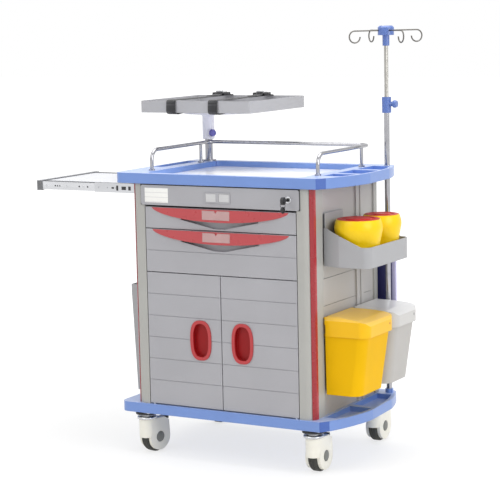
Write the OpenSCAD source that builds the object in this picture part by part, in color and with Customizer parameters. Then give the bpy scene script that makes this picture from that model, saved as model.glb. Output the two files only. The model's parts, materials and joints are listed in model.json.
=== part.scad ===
// Hospital crash cart: wheeled ABS trolley with drawers, cupboard, side bins, drip pole and top shelf.
// Units are millimetres. +X is the bin side, -Y is the drawer side, +Z is up.
// Every sub-part is a module of its own, listed in NODES and drawn at the end.

/* [Cabinet] */
// Width of the cabinet over its corner columns
cabinet_w = 690; // [640:5:760]
// Depth of the cabinet over its corner columns
cabinet_d = 520; // [480:5:560]
// Height of one drawer module
module_h = 75; // [65:1:85]
// Modules taken up by the shallow drawer
upper_modules = 1; // [1:1:1]
// Modules taken up by the deep drawer
lower_modules = 2; // [2:1:3]
// Modules taken up by the cupboard doors
door_modules = 6; // [5:1:7]
// Height of the fixed strip that carries the lock
strip_h = 68; // [62:1:80]
// Width of a corner column along the front
column_w = 52.5; // [46:0.5:60]
// Length of a front corner column along the side
column_d = 81; // [70:1:95]
// Length of a rear corner column along the side
rear_column_d = 50; // [44:1:54]
// Radius of the column's outer corner
column_r = 32; // [24:1:40]
// Wall of the hollow columns
column_wall = 4; // [3:0.5:6]
// Thickness of doors and drawer fronts
front_t = 18; // [16:1:22]
// Thickness of the side and back panels
panel_t = 6; // [4:0.5:8]
// How far the side panels lie behind the columns' outer faces
panel_inset = 7; // [5:0.5:10]
// Gap between neighbouring fronts
front_gap = 3; // [1.5:0.5:4]

/* [Top and base] */
// Thickness of the blue top's rim
top_t = 35; // [30:1:42]
// Depth of the recess in the top
recess_depth = 22; // [16:1:25]
// Thickness of the base tray's rim
base_t = 34; // [30:1:40]
// How far the top and base run past the cabinet on the left
left_overhang = 65; // [55:1:80]
// How far the curved end runs past the cabinet on the right
end_overhang = 105; // [100:1:120]
// Radius of the curved right end
end_r = 600; // [560:5:680]
// How far the top and base stand out in front
front_overhang = 8; // [6:1:10]
// How far the top and base stand out behind
rear_overhang = 16; // [15:1:20]
// Thickness of moulded skins
skin = 4; // [3:0.5:5]
// Thickness of the loose worktop sheet
sheet_t = 3; // [2:0.5:4]

/* [Guard rail] */
// Diameter of the rail tube
rail_d = 12.8; // [10:0.2:16]
// Height of the rail's centre line above the rim
rail_h = 70; // [60:1:73]
// How far the side rails lie in from the cabinet's sides
rail_inset = 23; // [21:1:33]
// How far the front rail posts lie behind the cabinet's front
rail_front_inset = 98; // [80:1:130]
// How far the rear rail posts lie in front of the cabinet's back
rail_rear_inset = 94; // [88:1:115]
// How far the rail's rear run lies in front of the cabinet's back
rail_back_inset = 26; // [24:1:35]

/* [Casters] */
// Diameter of the wheels
wheel_d = 108; // [96:1:112]
// Width of the wheels
wheel_w = 32; // [28:1:34]
// How far the swivels lie in from the cabinet's sides
caster_side_inset = 18; // [10:1:35]
// How far the swivels lie in from the cabinet's front and back
caster_end_inset = 29; // [27:1:40]
// Distance the wheel trails behind its swivel
caster_trail = 37; // [34:1:40]
// Resting turn of the front left caster
front_left_turn = -13; // [-45:1:45]

/* [Drawers] */
// How far the drawers pull out
drawer_travel = 300; // [200:5:340]
// Wall of the drawer boxes
drawer_wall = 3; // [2:0.5:4]
// Depth of the drawer boxes behind their fronts
drawer_box_d = 430; // [400:5:440]
// Length of the red pull
pull_l = 528; // [480:2:540]
// Height of the red pull
pull_h = 42; // [36:1:46]
// How far the pull bows out in the middle
pull_bow = 10; // [6:1:14]
// Length of the clear label window in the pull
window_l = 106; // [80:2:140]

/* [Doors] */
// Width of the red door cup
cup_w = 82; // [70:1:90]
// Height of the red door cup
cup_h = 137; // [120:1:150]
// Depth of the door cup's hollow
cup_depth = 14; // [10:1:14]
// Distance of each cup from the middle of the cart
cup_x = 81; // [70:1:100]
// Radius of the door hinge pins
hinge_pin_r = 2; // [1.5:0.1:2.4]

/* [Side shelf] */
// Travel of the pull-out side shelf
shelf_travel = 440; // [380:5:440]
// Gap between the side shelf's slides and the front column
shelf_front_gap = 4; // [2:0.5:10]
// Gap between the side shelf's slides and the rear column
shelf_rear_gap = 20; // [3:1:40]
// Height of the shelf's slides
slide_h = 36; // [32:1:38]
// Thickness of the shelf plate
shelf_plate_t = 3; // [2:0.5:5]

/* [Drip pole] */
// Outer radius of the lower pole
pole_r = 9.5; // [8.5:0.1:10.5]
// Outer radius of the upper pole
upper_pole_r = 7; // [6:0.1:7.4]
// Height of the lower pole's top end
pole_top = 1188; // [1120:1:1250]
// Height of the upper pole's top end at rest
hook_z = 1462; // [1440:1:1600]
// Distance of the hook loops from the pole
hook_reach = 117; // [90:1:130]
// Radius of a hook loop's centre line
hook_r = 20; // [16:0.5:22]
// Radius of the hook wire
hook_wire_r = 2.4; // [2:0.1:3]

/* [Monitor shelf] */
// Width of the monitor shelf
tray_w = 450; // [380:5:470]
// Depth of the monitor shelf
tray_d = 405; // [340:5:420]
// Height of the monitor shelf's rim
tray_rim = 42; // [35:1:60]
// Outer radius of the shelf post
post_r = 14; // [12:0.5:16]
// Outer radius of the sleeve that slides on the post
sleeve_r = 22; // [20:0.5:24]
// Radius of the turntable disc under the shelf
disc_r = 145; // [120:1:150]
// Width of the holding straps
strap_w = 38; // [25:1:45]
// Thickness of the holding straps
strap_t = 3; // [2:0.5:4]

/* [Side equipment] */
// Height of the sharps tray above the base
sharps_lift = 502; // [480:1:520]
// Length of the sharps tray along the side
sharps_l = 314; // [312:1:325]
// How far the sharps tray stands out from the wall
sharps_out = 170; // [165:1:180]
// Height of the sharps tray's outer wall
sharps_h = 69; // [60:1:80]
// Widest radius of the front sharps pot
front_pot_r = 80; // [74:0.5:81]
// Widest radius of the rear sharps pot
rear_pot_r = 67; // [62:0.5:68]
// Height of a sharps pot without its lid
pot_h = 148; // [125:1:150]
// Length of the front waste bin's lid along the side
front_bin_l = 218; // [200:1:225]
// Length of the rear waste bin's lid along the side
rear_bin_l = 190; // [180:1:200]
// How far a waste bin stands out from the wall
bin_out = 150; // [135:1:160]
// Height of a waste bin
bin_h = 235; // [200:1:240]
// Wall of the bins
bin_wall = 2.5; // [2:0.1:4]
// Width of the document pocket
pocket_l = 300; // [240:5:350]
// Height of the document pocket
pocket_h = 375; // [300:5:400]
// How far the document pocket stands out
pocket_out = 71; // [50:1:72]

/* [Back board] */
// Width of the resuscitation board
board_w = 780; // [700:5:790]
// Height of the resuscitation board
board_h = 460; // [400:5:480]
// Thickness of the resuscitation board
board_t = 8; // [6:0.5:8]

/* [Hidden] */
$fn = 72;
slack = 0.5;
fit = 0.06;

front_y = -cabinet_d / 2;
back_y = cabinet_d / 2;
half_w = cabinet_w / 2;
inner_x = half_w - column_w;
panel_x = half_w - panel_inset;

// heights, from the floor up
base_z0 = wheel_d + 42;
base_z1 = base_z0 + base_t;
door_foot = base_z1 + 4;
door_z0 = base_z1 + 12;
door_z1 = door_z0 + door_modules * module_h;
lower_z1 = door_z1 + lower_modules * module_h;
upper_z1 = lower_z1 + upper_modules * module_h;
strip_z0 = upper_z1 + 5;
strip_z1 = strip_z0 + strip_h;
top_z0 = strip_z1 + 4;
top_z1 = top_z0 + top_t;
recess_z = top_z1 - recess_depth;

// plan of the top and base
plate_x0 = -half_w - left_overhang;
plate_x1 = half_w + end_overhang;
plate_y0 = front_y - front_overhang;
plate_y1 = back_y + rear_overhang;
end_cx = plate_x1 - end_r;
end_cy = 22;
corner_r = 35;
recess_x = half_w - 45;
recess_y = cabinet_d / 2 - 22;

// guard rail and casters
rail_x = half_w - rail_inset;
rail_front = cabinet_d / 2 - rail_front_inset;
rail_rear = cabinet_d / 2 - rail_rear_inset;
rail_back = cabinet_d / 2 - rail_back_inset;
caster_x = half_w - caster_side_inset;
caster_y = cabinet_d / 2 - caster_end_inset;

// drip pole and shelf post
pole_x = half_w + 39;
pole_y = back_y - 20;
clamp_z0 = pole_top - 23;
clamp_z1 = pole_top + 31;
head_z0 = hook_z - 68;
hook_cz = hook_z - 16 - hook_r;
post_x = -half_w + 15;
post_y = back_y - 22;
sleeve_z0 = top_z1 + 80;
disc_z0 = sleeve_z0 + 98;
disc_z1 = disc_z0 + 9;
tray_z0 = disc_z1 + slack;
tray_cx = -half_w + 93;
tray_cy = back_y - 43;
tray_x0 = tray_cx - tray_w / 2;
tray_x1 = tray_cx + tray_w / 2;
tray_y0 = tray_cy - tray_d / 2;
tray_y1 = tray_cy + tray_d / 2;
tray_z1 = tray_z0 + tray_rim;
strap_xs = [tray_cx - 94, tray_cx + 77];

// pull-out side shelf
shelf_y0 = front_y + column_d + shelf_front_gap;
shelf_y1 = back_y - rear_column_d - shelf_rear_gap;
shelf_cy = (shelf_y0 + shelf_y1) / 2;
deck_z = upper_z1 + 13;
slide_z = deck_z + 16 + slide_h / 2;
plate_z = slide_z + slide_h / 2 - 4.5 - shelf_plate_t;
slide_l = 448;
fascia_t = 12;
slide_x0 = -half_w + 8;
shelf_x0 = -half_w - 1 - slide_l;
link_x0 = slide_x0 - shelf_travel / 2;
link_holes = [20, 56, 92, 190, 226];
frame_holes = [30, 66, 76, 86, 170, 206];

// cupboard shelf and drawer guides
cupboard_shelf_z = base_z1 + 234;
guide_x = inner_x - 1.5;

// hanging equipment on the right
hang_x = half_w + 0.5;
bin_back_x = half_w + 7;
bin_z0 = base_z1 + 74;
bin_z1 = bin_z0 + bin_h;
rear_bin_y = pole_y - pole_r - 6.5 - rear_bin_l;
front_bin_y = rear_bin_y - 6 - front_bin_l;
// accessory strip, clear of the rear bin's hangers
strip_y0 = rear_bin_y + 39;
hanger_y = 18.5;
hanger_w = 18;
lid_x1 = bin_back_x + bin_out + 5;
lid_z0 = bin_z1 - 38;
lid_z1 = bin_z1 + 27;
lid_axis_x = bin_back_x - 1.5;
lid_axis_z = lid_z1 - 5;
sharps_y0 = -185;
sharps_z0 = base_z1 + sharps_lift;
front_pot_y = sharps_y0 + 9 + front_pot_r;
rear_pot_y = front_pot_y + front_pot_r + 3 + rear_pot_r;
pot_z0 = sharps_z0 + 3.5;
pot_z1 = pot_z0 + pot_h;

// resuscitation board
board_y0 = back_y + 2;
board_z0 = base_z1 + 124;
board_cx = 12;
slot_z = board_z0 + board_h - 55;

// lock and keys
lock_x = inner_x - 28.5;
lock_z = strip_z0 + 35;
panel_y = front_y - 4;
key_out = 45;

// overall extents, so that the origin sits under the middle of the whole object
x_lo = shelf_x0 - fascia_t;
x_hi = hang_x + sharps_out;
y_lo = panel_y - key_out;
y_hi = tray_y1 + strap_t + 0.4;

blue = "#6f90cc";
grey = "#b2b2b6";
column_grey = "#b9bcb8";
red = "#b03a44";
steel = "#c8cacc";
dark = "#3a3a3c";
cream = "#e6e4d8";

// ---- building blocks ----

module block(x0, x1, y0, y1, z0, z1) {
    translate([x0, y0, z0]) cube([x1 - x0, y1 - y0, z1 - z0]);
}

module rod(x, y, z0, z1, r) {
    translate([x, y, z0]) cylinder(r = r, h = z1 - z0);
}

module rod_x(x0, x1, y, z, r) {
    translate([x0, y, z]) rotate([0, 90, 0]) cylinder(r = r, h = x1 - x0);
}

module rod_y(y0, y1, x, z, r) {
    translate([x, y1, z]) rotate([90, 0, 0]) cylinder(r = r, h = y1 - y0);
}

// extrude a plan upwards
module plan_solid(z0, z1) {
    translate([0, 0, z0]) linear_extrude(z1 - z0) children();
}

// extrude an X-Z outline along Y
module front_solid(y0, y1) {
    translate([0, y1, 0]) rotate([90, 0, 0]) linear_extrude(y1 - y0) children();
}

// extrude a Y-Z outline along X
module side_solid(x0, x1) {
    translate([x0, 0, 0]) rotate([90, 0, 90]) linear_extrude(x1 - x0) children();
}

module area(x0, x1, y0, y1) {
    translate([x0, y0]) square([x1 - x0, y1 - y0]);
}

module round_area(x0, x1, y0, y1, r) {
    area(x0 + r, x1 - r, y0, y1);
    area(x0, x1, y0 + r, y1 - r);
    for (x = [x0 + r, x1 - r], y = [y0 + r, y1 - r]) translate([x, y]) circle(r);
}

// ring sector between two angles that are less than 120 degrees apart
module sector(r0, r1, a0, a1) {
    m = (a0 + a1) / 2;
    far = 3 * r1;
    intersection() {
        difference() {
            circle(r1);
            circle(r0);
        }
        polygon([[0, 0], [far * cos(a0), far * sin(a0)], [far * cos(m), far * sin(m)],
            [far * cos(a1), far * sin(a1)]]);
    }
}

// C-shaped rail along X that opens towards +Y
module rail_c(x0, x1, y, z, h, d, t = 1.5) {
    block(x0, x1, y, y + t, z - h / 2, z + h / 2);
    block(x0, x1, y, y + d, z - h / 2, z - h / 2 + t);
    block(x0, x1, y, y + d, z + h / 2 - t, z + h / 2);
}

// outline shared by top and base: straight on the left, bulged on the right
module deck_plan(inset = 0) {
    r = 30 - inset;
    x0 = plate_x0 + inset;
    y0 = plate_y0 + inset;
    y1 = plate_y1 - inset;
    big = end_r - inset;
    // the rear corner's arc stands 0.2 out of the long one, so that they cross
    reach = end_r - corner_r + 0.2;
    cy = plate_y1 - corner_r;
    cx = end_cx + sqrt(pow(reach, 2) - pow(cy - end_cy, 2));
    rc = corner_r - inset;
    ux = (cx - end_cx) / reach;
    uy = (cy - end_cy) / reach;
    chamfer_x = plate_x1 - 82 - inset * 0.5;
    intersection() {
        translate([end_cx, end_cy]) circle(big, $fn = 240);
        polygon([[x0 + r, y0], [chamfer_x, y0], [chamfer_x + 36, y0 + 47], [plate_x1 + 9, y0 + 47],
            [end_cx + ux * (big + 30), end_cy + uy * (big + 30)], [cx, cy], [cx, y1],
            [x0 + r, y1], [x0, y1 - r], [x0, y0 + r]]);
    }
    translate([cx, cy]) circle(rc);
    translate([x0 + r, y0 + r]) circle(r);
    translate([x0 + r, y1 - r]) circle(r);
}

// ---- base, cabinet and top ----

module base_tray() color(blue) {
    difference() {
        plan_solid(base_z0, base_z1) deck_plan();
        // bays in the bulged end
        for (b = [[-195, -12], [12, 205]])
            plan_solid(base_z1 - 18, base_z1 + 1) intersection() {
                deck_plan(14);
                area(half_w + 8, plate_x1, b[0], b[1]);
            }
        // hollow underside between the casters
        block(-half_w + 70, half_w - 70, -cabinet_d / 2 + 20, cabinet_d / 2 - 20, base_z0 - 1, base_z1 - skin);
        for (s = [-1, 1])
            block(min(s * (half_w - 65), s * (half_w + 30)), max(s * (half_w - 65), s * (half_w + 30)),
                -cabinet_d / 2 + 80, cabinet_d / 2 - 80, base_z0 - 1, base_z1 - 22);
        rod(pole_x, pole_y, base_z1 - 10, base_z1 + 1, pole_r + 0.1);
    }
    difference() {
        rod(pole_x, pole_y, base_z1, base_z1 + 14, pole_r + 4.5);
        rod(pole_x, pole_y, base_z1 - 1, base_z1 + 15, pole_r + 0.1);
    }
}

module top_plate() color(blue) difference() {
    plan_solid(top_z0, top_z1) deck_plan();
    // worktop recess
    plan_solid(recess_z, top_z1 + 1) round_area(-recess_x, recess_x, -recess_y, recess_y, 24);
    // hollow underside
    plan_solid(top_z0 - 1, recess_z - skin) deck_plan(skin);
    // long pocket in the left ledge
    plan_solid(top_z1 - 6, top_z1 + 1) round_area(plate_x0 + 10, plate_x0 + 58, -36, 200, 10);
    // three compartments in the bulged end
    for (c = [[-165, -90], [-60, 60], [90, 214]])
        plan_solid(top_z1 - 18, top_z1 + 1) intersection() {
            deck_plan(13);
            area(half_w - 3, plate_x1, c[0], c[1]);
        }
    rod(pole_x, pole_y, top_z0 - 1, top_z1 + 1, pole_r + 0.1);
}

module worktop() color("#eef0fa")
    plan_solid(recess_z, recess_z + sheet_t)
        round_area(-recess_x + 1, recess_x - 1, -recess_y + 1, recess_y - 1, 23);

// front right column; d is its length along the side
module column_plan(d, w = 0) {
    cx = half_w - column_r;
    cy = front_y + column_r;
    area(inner_x + w, cx, front_y + w, front_y + d - w);
    area(inner_x + w, half_w - w, cy, front_y + d - w);
    // outer quarter of the round corner
    intersection() {
        translate([cx, cy]) circle(column_r - w);
        area(cx - 1, half_w, front_y, cy + 1);
    }
}

module column(d) plan_solid(base_z1, top_z0) difference() {
    column_plan(d);
    column_plan(d, column_wall);
    if (d == column_d) translate([half_w - column_r, front_y + column_r])
        sector(column_r - 1.5, column_r + 3, -48, -2);
}

module columns() color(column_grey) for (s = [0, 1]) mirror([s, 0, 0]) {
    column(column_d);
    mirror([0, 1, 0]) column(rear_column_d);
}

module accent_strips() color(red) for (s = [0, 1]) mirror([s, 0, 0])
    translate([half_w - column_r, front_y + column_r, 0])
        plan_solid(base_z1, top_z0) sector(column_r - 1.45, column_r + 2.5, -47.5, -2.5);

module body_panels() color(grey) {
    y0 = front_y + column_d;
    y1 = back_y - rear_column_d;
    block(panel_x - panel_t, panel_x, y0, y1, base_z1, top_z0);
    block(-panel_x, -panel_x + panel_t, y0, y1, base_z1, deck_z);
    block(-inner_x, inner_x, back_y - 10, back_y - 10 + panel_t, base_z1, top_z0);
    // accessory rail on the right side
    difference() {
        block(panel_x, half_w - 0.5, strip_y0, strip_y0 + 52, base_z1, top_z0);
        block(panel_x + 3, half_w, strip_y0 + 19, strip_y0 + 33, base_z1 - 1, top_z0 + 1);
    }
}

module deck(z0, z1) {
    block(-inner_x, inner_x, front_y + 24, back_y - 10, z0, z1);
    block(-panel_x + panel_t, panel_x - panel_t, front_y + column_d, back_y - rear_column_d, z0, z1);
}

module cabinet_decks() color(grey) {
    deck(base_z1, base_z1 + 8);
    deck(cupboard_shelf_z, cupboard_shelf_z + 4);
    deck(door_z1 - 12, door_z1 - 6);
    deck(deck_z - 4, deck_z);
}

module lock_panel() color(grey) {
    difference() {
        union() {
            front_solid(panel_y, front_y - 0.05)
                round_area(-inner_x - 11.5, inner_x + 11.5, strip_z0, strip_z1, 8);
            block(-inner_x + 1, inner_x - 1, front_y - 0.05, front_y + 16, strip_z0, strip_z1);
        }
        block(-inner_x + 4, inner_x - 4, front_y, front_y + 17, strip_z0 + 3, strip_z1 - 3);
        rod_y(panel_y - 1, front_y + 1, lock_x, lock_z, 9.1);
    }
    // label holder: rim around two pockets
    difference() {
        block(-51, 48, panel_y - 2.5, panel_y, strip_z0 + 14, strip_z0 + 50);
        block(-47, -7, panel_y - 3, panel_y - 1, strip_z0 + 18, strip_z0 + 46);
        block(4, 44, panel_y - 3, panel_y - 1, strip_z0 + 18, strip_z0 + 46);
    }
}

module guard_rail() color(steel) {
    $fn = 36;
    r = rail_d / 2;
    z = top_z1 + rail_h;
    bend = 36;
    for (s = [-1, 1]) {
        x = s * rail_x;
        // front leg, its bend, side run
        rod(x, -rail_front, top_z1 + 5, z - bend, r);
        translate([x, -rail_front + bend, z - bend]) rotate([90, 0, 90]) rotate([0, 0, 90])
            rotate_extrude(angle = 90) translate([bend, 0]) circle(r);
        rod_y(-rail_front + bend, rail_back - bend, x, z, r);
        rod(x, rail_rear, top_z1 + 5, z, r - 0.4);
        for (y = [-rail_front, rail_rear]) rod(x, y, top_z1, top_z1 + 5, r + 4.5);
        translate([x - s * bend, rail_back - bend, z]) rotate([0, 0, s > 0 ? 0 : 90])
            rotate_extrude(angle = 90) translate([bend, 0]) circle(r);
    }
    rod_x(-rail_x + bend, rail_x - bend, rail_back, z, r);
}

// ---- drawer guides and side shelf slides ----

function guide_z(z0, z1) = (z0 + z1) / 2 + 2;

module drawer_guides(z) for (s = [0, 1]) mirror([s, 0, 0]) {
    block(guide_x, guide_x + 1.5, front_y + 20, back_y - 20, z - 6, z + 6);
    block(guide_x - 6, guide_x + 1.5, front_y + 20, back_y - 20, z - 6, z - 4.5);
    block(guide_x - 6, guide_x + 1.5, front_y + 20, back_y - 20, z + 4.5, z + 6);
}

module near_and_far() {
    children();
    translate([0, 2 * shelf_cy, 0]) mirror([0, 1, 0]) children();
}

module slide_rails() color(steel) {
    drawer_guides(guide_z(lower_z1, upper_z1));
    drawer_guides(guide_z(door_z1, lower_z1));
    near_and_far() {
        rail_c(slide_x0, slide_x0 + slide_l, shelf_y0, slide_z, slide_h, 10);
        for (x = [30, slide_l / 2, slide_l - 60])
            block(slide_x0 + x, slide_x0 + x + 30, shelf_y0, shelf_y0 + 10, deck_z, slide_z - slide_h / 2);
    }
}

module shelf_links() color(steel) near_and_far() difference() {
    rail_c(link_x0, link_x0 + slide_l, shelf_y0 + 2, slide_z, slide_h - 4, 8);
    for (x = link_holes)
        rod_y(shelf_y0 + 1, shelf_y0 + 4, link_x0 + x, slide_z, 3);
}

module shelf_frame() color("#cfd0d2") {
    x1 = shelf_x0 + slide_l;
    near_and_far() {
        difference() {
            rail_c(shelf_x0, x1, shelf_y0 + 4, slide_z, slide_h - 8, 10);
            for (x = frame_holes)
                rod_y(shelf_y0 + 3, shelf_y0 + 6, shelf_x0 + x, slide_z, 3);
        }
        // ledge under the plate
        block(shelf_x0, x1, shelf_y0 + 14, shelf_y0 + 15.5, slide_z - slide_h / 2 + 4, slide_z + slide_h / 2 - 4);
        block(shelf_x0, x1, shelf_y0 + 15.5, shelf_y0 + 28, plate_z - 1.6, plate_z - 0.1);
    }
    block(shelf_x0 - fascia_t, shelf_x0, shelf_y0 + 1, shelf_y1 - 1, slide_z - slide_h / 2, slide_z + slide_h / 2);
    block(x1 - 3, x1, shelf_y0 + 15.5, shelf_y1 - 15.5, slide_z - slide_h / 2 + 5.5, slide_z + slide_h / 2 - 4);
}

module shelf_plate() color("#e9e9ec")
    block(shelf_x0, shelf_x0 + slide_l - 3.2, shelf_y0 + 15.6, shelf_y1 - 15.6,
        plate_z, plate_z + shelf_plate_t);

// ---- drawers ----

module drawer_box(z0, z1) color("#c9cacc") {
    gz = guide_z(z0, z1);
    y0 = front_y + front_t;
    difference() {
        block(-inner_x + 14, inner_x - 14, y0, y0 + drawer_box_d, z0 + 8, z1 - 12);
        block(-inner_x + 14 + drawer_wall, inner_x - 14 - drawer_wall, y0 + drawer_wall,
            y0 + drawer_box_d - drawer_wall, z0 + 8 + drawer_wall, z1);
    }
    // runners
    for (s = [0, 1]) mirror([s, 0, 0])
        block(inner_x - 14, guide_x - slack, y0, y0 + drawer_box_d, gz - 4, gz + 4);
}

front_w = 2 * inner_x - 6;

module scoop_shape(z1) polygon([[-150, z1 - 12], [150, z1 - 12], [150, z1 - pull_h + 1],
    [22, z1 - 68], [-22, z1 - 68], [-150, z1 - pull_h + 1]]);

module drawer_front(z0, z1, modules) color(grey) difference() {
    block(-front_w / 2, front_w / 2, front_y, front_y + front_t, z0 + front_gap / 2, z1 - front_gap / 2);
    front_solid(front_y - 1, front_y + front_t - 5) scoop_shape(z1);
    if (modules > 1) for (k = [1:modules - 1])
        block(-front_w, front_w, front_y - 1, front_y + 1.5, z0 + k * module_h - 1, z0 + k * module_h + 1);
    // room for the door pivots behind the lower corners
    if (modules > 1) for (s = [0, 1]) mirror([s, 0, 0])
        block(pivot_x - 10, half_w, front_y + 3.5, front_y + front_t + 1, z0 - 1, z0 + 11);
}

// front outline of a pull: straight on top, swept up at both ends
module pull_shape(z1) {
    n = 24;
    polygon(concat([[pull_l / 2, z1 + 9]], [[-pull_l / 2, z1 + 9]],
        [for (i = [0:n]) let (t = -cos(180 * i / n))
            [t * pull_l / 2, z1 - pull_h * pow(max(0, 1 - t * t), 0.6)]]));
}

// plan of the bow, grown or shrunk by w
module bow_plan(w = 0) {
    n = 32;
    polygon(concat([[pull_l / 2, front_y], [-pull_l / 2, front_y]],
        [for (i = [1:n - 1]) let (t = 2 * i / n - 1)
            [t * pull_l / 2, min(front_y, front_y - pull_bow * (1 - t * t) - w)]]));
}

module drawer_pull(z1) color(red) {
    top = z1 - 3;
    difference() {
        intersection() {
            plan_solid(top - pull_h - 1, top) bow_plan();
            front_solid(front_y - pull_bow - 6, front_y) pull_shape(top);
        }
        // finger hollow behind, open at the bottom
        plan_solid(top - pull_h - 2, top - 4) intersection() {
            bow_plan(-3.5);
            area(-150, 150, front_y - pull_bow - 5, front_y + 1);
        }
        // seat of the window
        intersection() {
            plan_solid(top - 34, top - 3) difference() {
                bow_plan(2);
                bow_plan(-1.2);
            }
            block(-window_l / 2 - 7, window_l / 2 - 7, front_y - 30, front_y, top - 34, top - 3);
        }
    }
}

module drawer_window(z1) color("#e6b9b6") {
    top = z1 - 3;
    difference() {
        intersection() {
            plan_solid(top - 33.9, top - 3.1) difference() {
                bow_plan(0.8);
                bow_plan(-1.1);
            }
            block(-window_l / 2 - 6.9, window_l / 2 - 7.1, front_y - 30, front_y, top - 34, top - 3);
        }
        // thumb notch
        front_solid(front_y - 30, front_y) polygon([[-16, top], [2, top], [-7, top - 12]]);
    }
}

module upper_box() drawer_box(lower_z1, upper_z1);
module upper_front() drawer_front(lower_z1, upper_z1, upper_modules);
module upper_pull() drawer_pull(upper_z1);
module upper_window() drawer_window(upper_z1);
module lower_box() drawer_box(door_z1, lower_z1);
module lower_front() drawer_front(door_z1, lower_z1, lower_modules);
module lower_pull() drawer_pull(lower_z1);
module lower_window() drawer_window(lower_z1);

// ---- doors ----

pivot_x = inner_x - 15;
pivot_y = front_y + 8;
cup_z = door_z0 + door_modules * module_h / 2;

// barrel-shaped outline of the door cup
module cup_shape(inset = 0) {
    w = cup_w / 2 - inset;
    h = cup_h / 2 - inset;
    n = 48;
    translate([cup_x, cup_z])
        polygon([for (i = [0:n - 1]) let (c = cos(360 * i / n), s = sin(360 * i / n))
            [w * sign(c) * pow(abs(c), 0.75), h * sign(s) * pow(abs(s), 0.75)]]);
}

module door() color(grey) difference() {
    x1 = front_w / 2;
    block(front_gap / 2, x1, front_y, front_y + front_t, door_foot, door_z1 - front_gap / 2);
    for (k = [1:door_modules - 1])
        block(-1, x1 + 1, front_y - 1, front_y + 1.5, door_z0 + k * module_h - 1, door_z0 + k * module_h + 1);
    front_solid(front_y - 1, front_y + front_t + 1) cup_shape(5);
    rod(pivot_x, pivot_y, door_foot - 1, door_foot + 16, hinge_pin_r + fit);
    rod(pivot_x, pivot_y, door_z1 - 16, door_z1, hinge_pin_r + fit);
}

module door_cup() color(red) difference() {
    union() {
        front_solid(front_y - 3.5, front_y) cup_shape();
        front_solid(front_y, front_y + cup_depth + 3) cup_shape(5.1);
    }
    front_solid(front_y - 4, front_y + cup_depth) cup_shape(11);
}

module right_door() door();
module right_cup() door_cup();
module left_door() mirror([1, 0, 0]) door();
module left_cup() mirror([1, 0, 0]) door_cup();

// ---- drip pole ----

module lower_pole() color(steel) difference() {
    rod(pole_x, pole_y, base_z1 - 9, pole_top, pole_r);
    rod(pole_x, pole_y, base_z1, pole_top + 1, upper_pole_r + fit);
}

module pole_clamp() color(blue) difference() {
    union() {
        rod(pole_x, pole_y, clamp_z0, clamp_z1, pole_r + 6.5);
        rod_x(pole_x, pole_x + pole_r + 13, pole_y, pole_top + 7, 8);
    }
    rod(pole_x, pole_y, clamp_z0 - 1, pole_top, pole_r + 0.02);
    rod(pole_x, pole_y, pole_top - 1, clamp_z1 + 1, upper_pole_r + 0.4);
    rod_x(pole_x, pole_x + pole_r + 14, pole_y, pole_top + 7, 3 + fit);
}

module pole_knob() color(blue) {
    x = pole_x + pole_r + 13.4;
    rod_x(pole_x + upper_pole_r + 1, x, pole_y, pole_top + 7, 3);
    translate([x, pole_y, pole_top + 7]) rotate([0, 90, 0]) knob();
}

// round knob with finger flats, standing on z = 0
module knob() difference() {
    union() {
        cylinder(r = 9, h = 4);
        translate([0, 0, 4]) cylinder(r1 = 12.5, r2 = 14, h = 4);
        translate([0, 0, 8]) cylinder(r1 = 14, r2 = 11, h = 8);
    }
    for (a = [0:60:300]) rotate([0, 0, a]) translate([16.5, 0, 3]) cylinder(r = 4, h = 14, $fn = 32);
}

module upper_pole() color(steel) rod(pole_x, pole_y, base_z1 + 650, head_z0 + 20, upper_pole_r);

module hook_head() color(blue) difference() {
    union() {
        rod(pole_x, pole_y, head_z0, hook_z - 30, upper_pole_r + 5);
        translate([pole_x, pole_y, hook_z - 32]) cylinder(r = 28, h = 26);
        translate([pole_x, pole_y, hook_z - 6]) cylinder(r1 = 28, r2 = 22, h = 6);
    }
    rod(pole_x, pole_y, head_z0 - 1, head_z0 + 20.1, upper_pole_r + 0.02);
    for (k = [0:3]) translate([pole_x, pole_y, hook_cz + hook_r]) rotate([0, 0, 50.6 + 90 * k])
        rod_x(14, 40, 0, 0, hook_wire_r + 0.02);
}

module drip_hooks() color(steel) {
    $fn = 24;
    for (k = [0:3]) translate([pole_x, pole_y, 0]) rotate([0, 0, 50.6 + 90 * k]) {
        rod_x(14.1, hook_reach, 0, hook_cz + hook_r, hook_wire_r);
        translate([hook_reach, 0, hook_cz]) rotate([90, 0, 0]) rotate([0, 0, 180])
            rotate_extrude(angle = 270) translate([hook_r, 0]) circle(hook_wire_r);
    }
}

// ---- monitor shelf ----

module shelf_post() color(steel) {
    rod(post_x, post_y, top_z1, disc_z0 - 4, post_r);
    rod(post_x, post_y, top_z1, top_z1 + 5, post_r + 11);
}

module post_sleeve() color("#dcdcf0") difference() {
    union() {
        rod(post_x, post_y, sleeve_z0, disc_z0, sleeve_r);
        translate([post_x, post_y, disc_z0 - 16]) cylinder(r1 = sleeve_r, r2 = sleeve_r + 16, h = 16);
        rod(tray_cx, tray_cy, disc_z0, disc_z1, disc_r);
        rod(tray_cx, tray_cy, disc_z1, tray_z0 + 2.5, 10);
        translate([post_x, post_y, sleeve_z0 + 23]) rotate([0, 0, -35]) rod_x(0, sleeve_r + 4, 0, 0, 8);
    }
    rod(post_x, post_y, sleeve_z0 - 1, disc_z0 - 2, post_r + fit);
    translate([post_x, post_y, sleeve_z0 + 23]) rotate([0, 0, -35])
        rod_x(post_r - 1, sleeve_r + 5, 0, 0, 3 + fit);
    // hollow under the disc
    difference() {
        rod(tray_cx, tray_cy, disc_z0 - 1, disc_z1 - 3, disc_r - 3);
        rod(tray_cx, tray_cy, disc_z0 - 2, disc_z1, 20);
        rod(post_x, post_y, disc_z0 - 2, disc_z1, sleeve_r + 16);
    }
}

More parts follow.
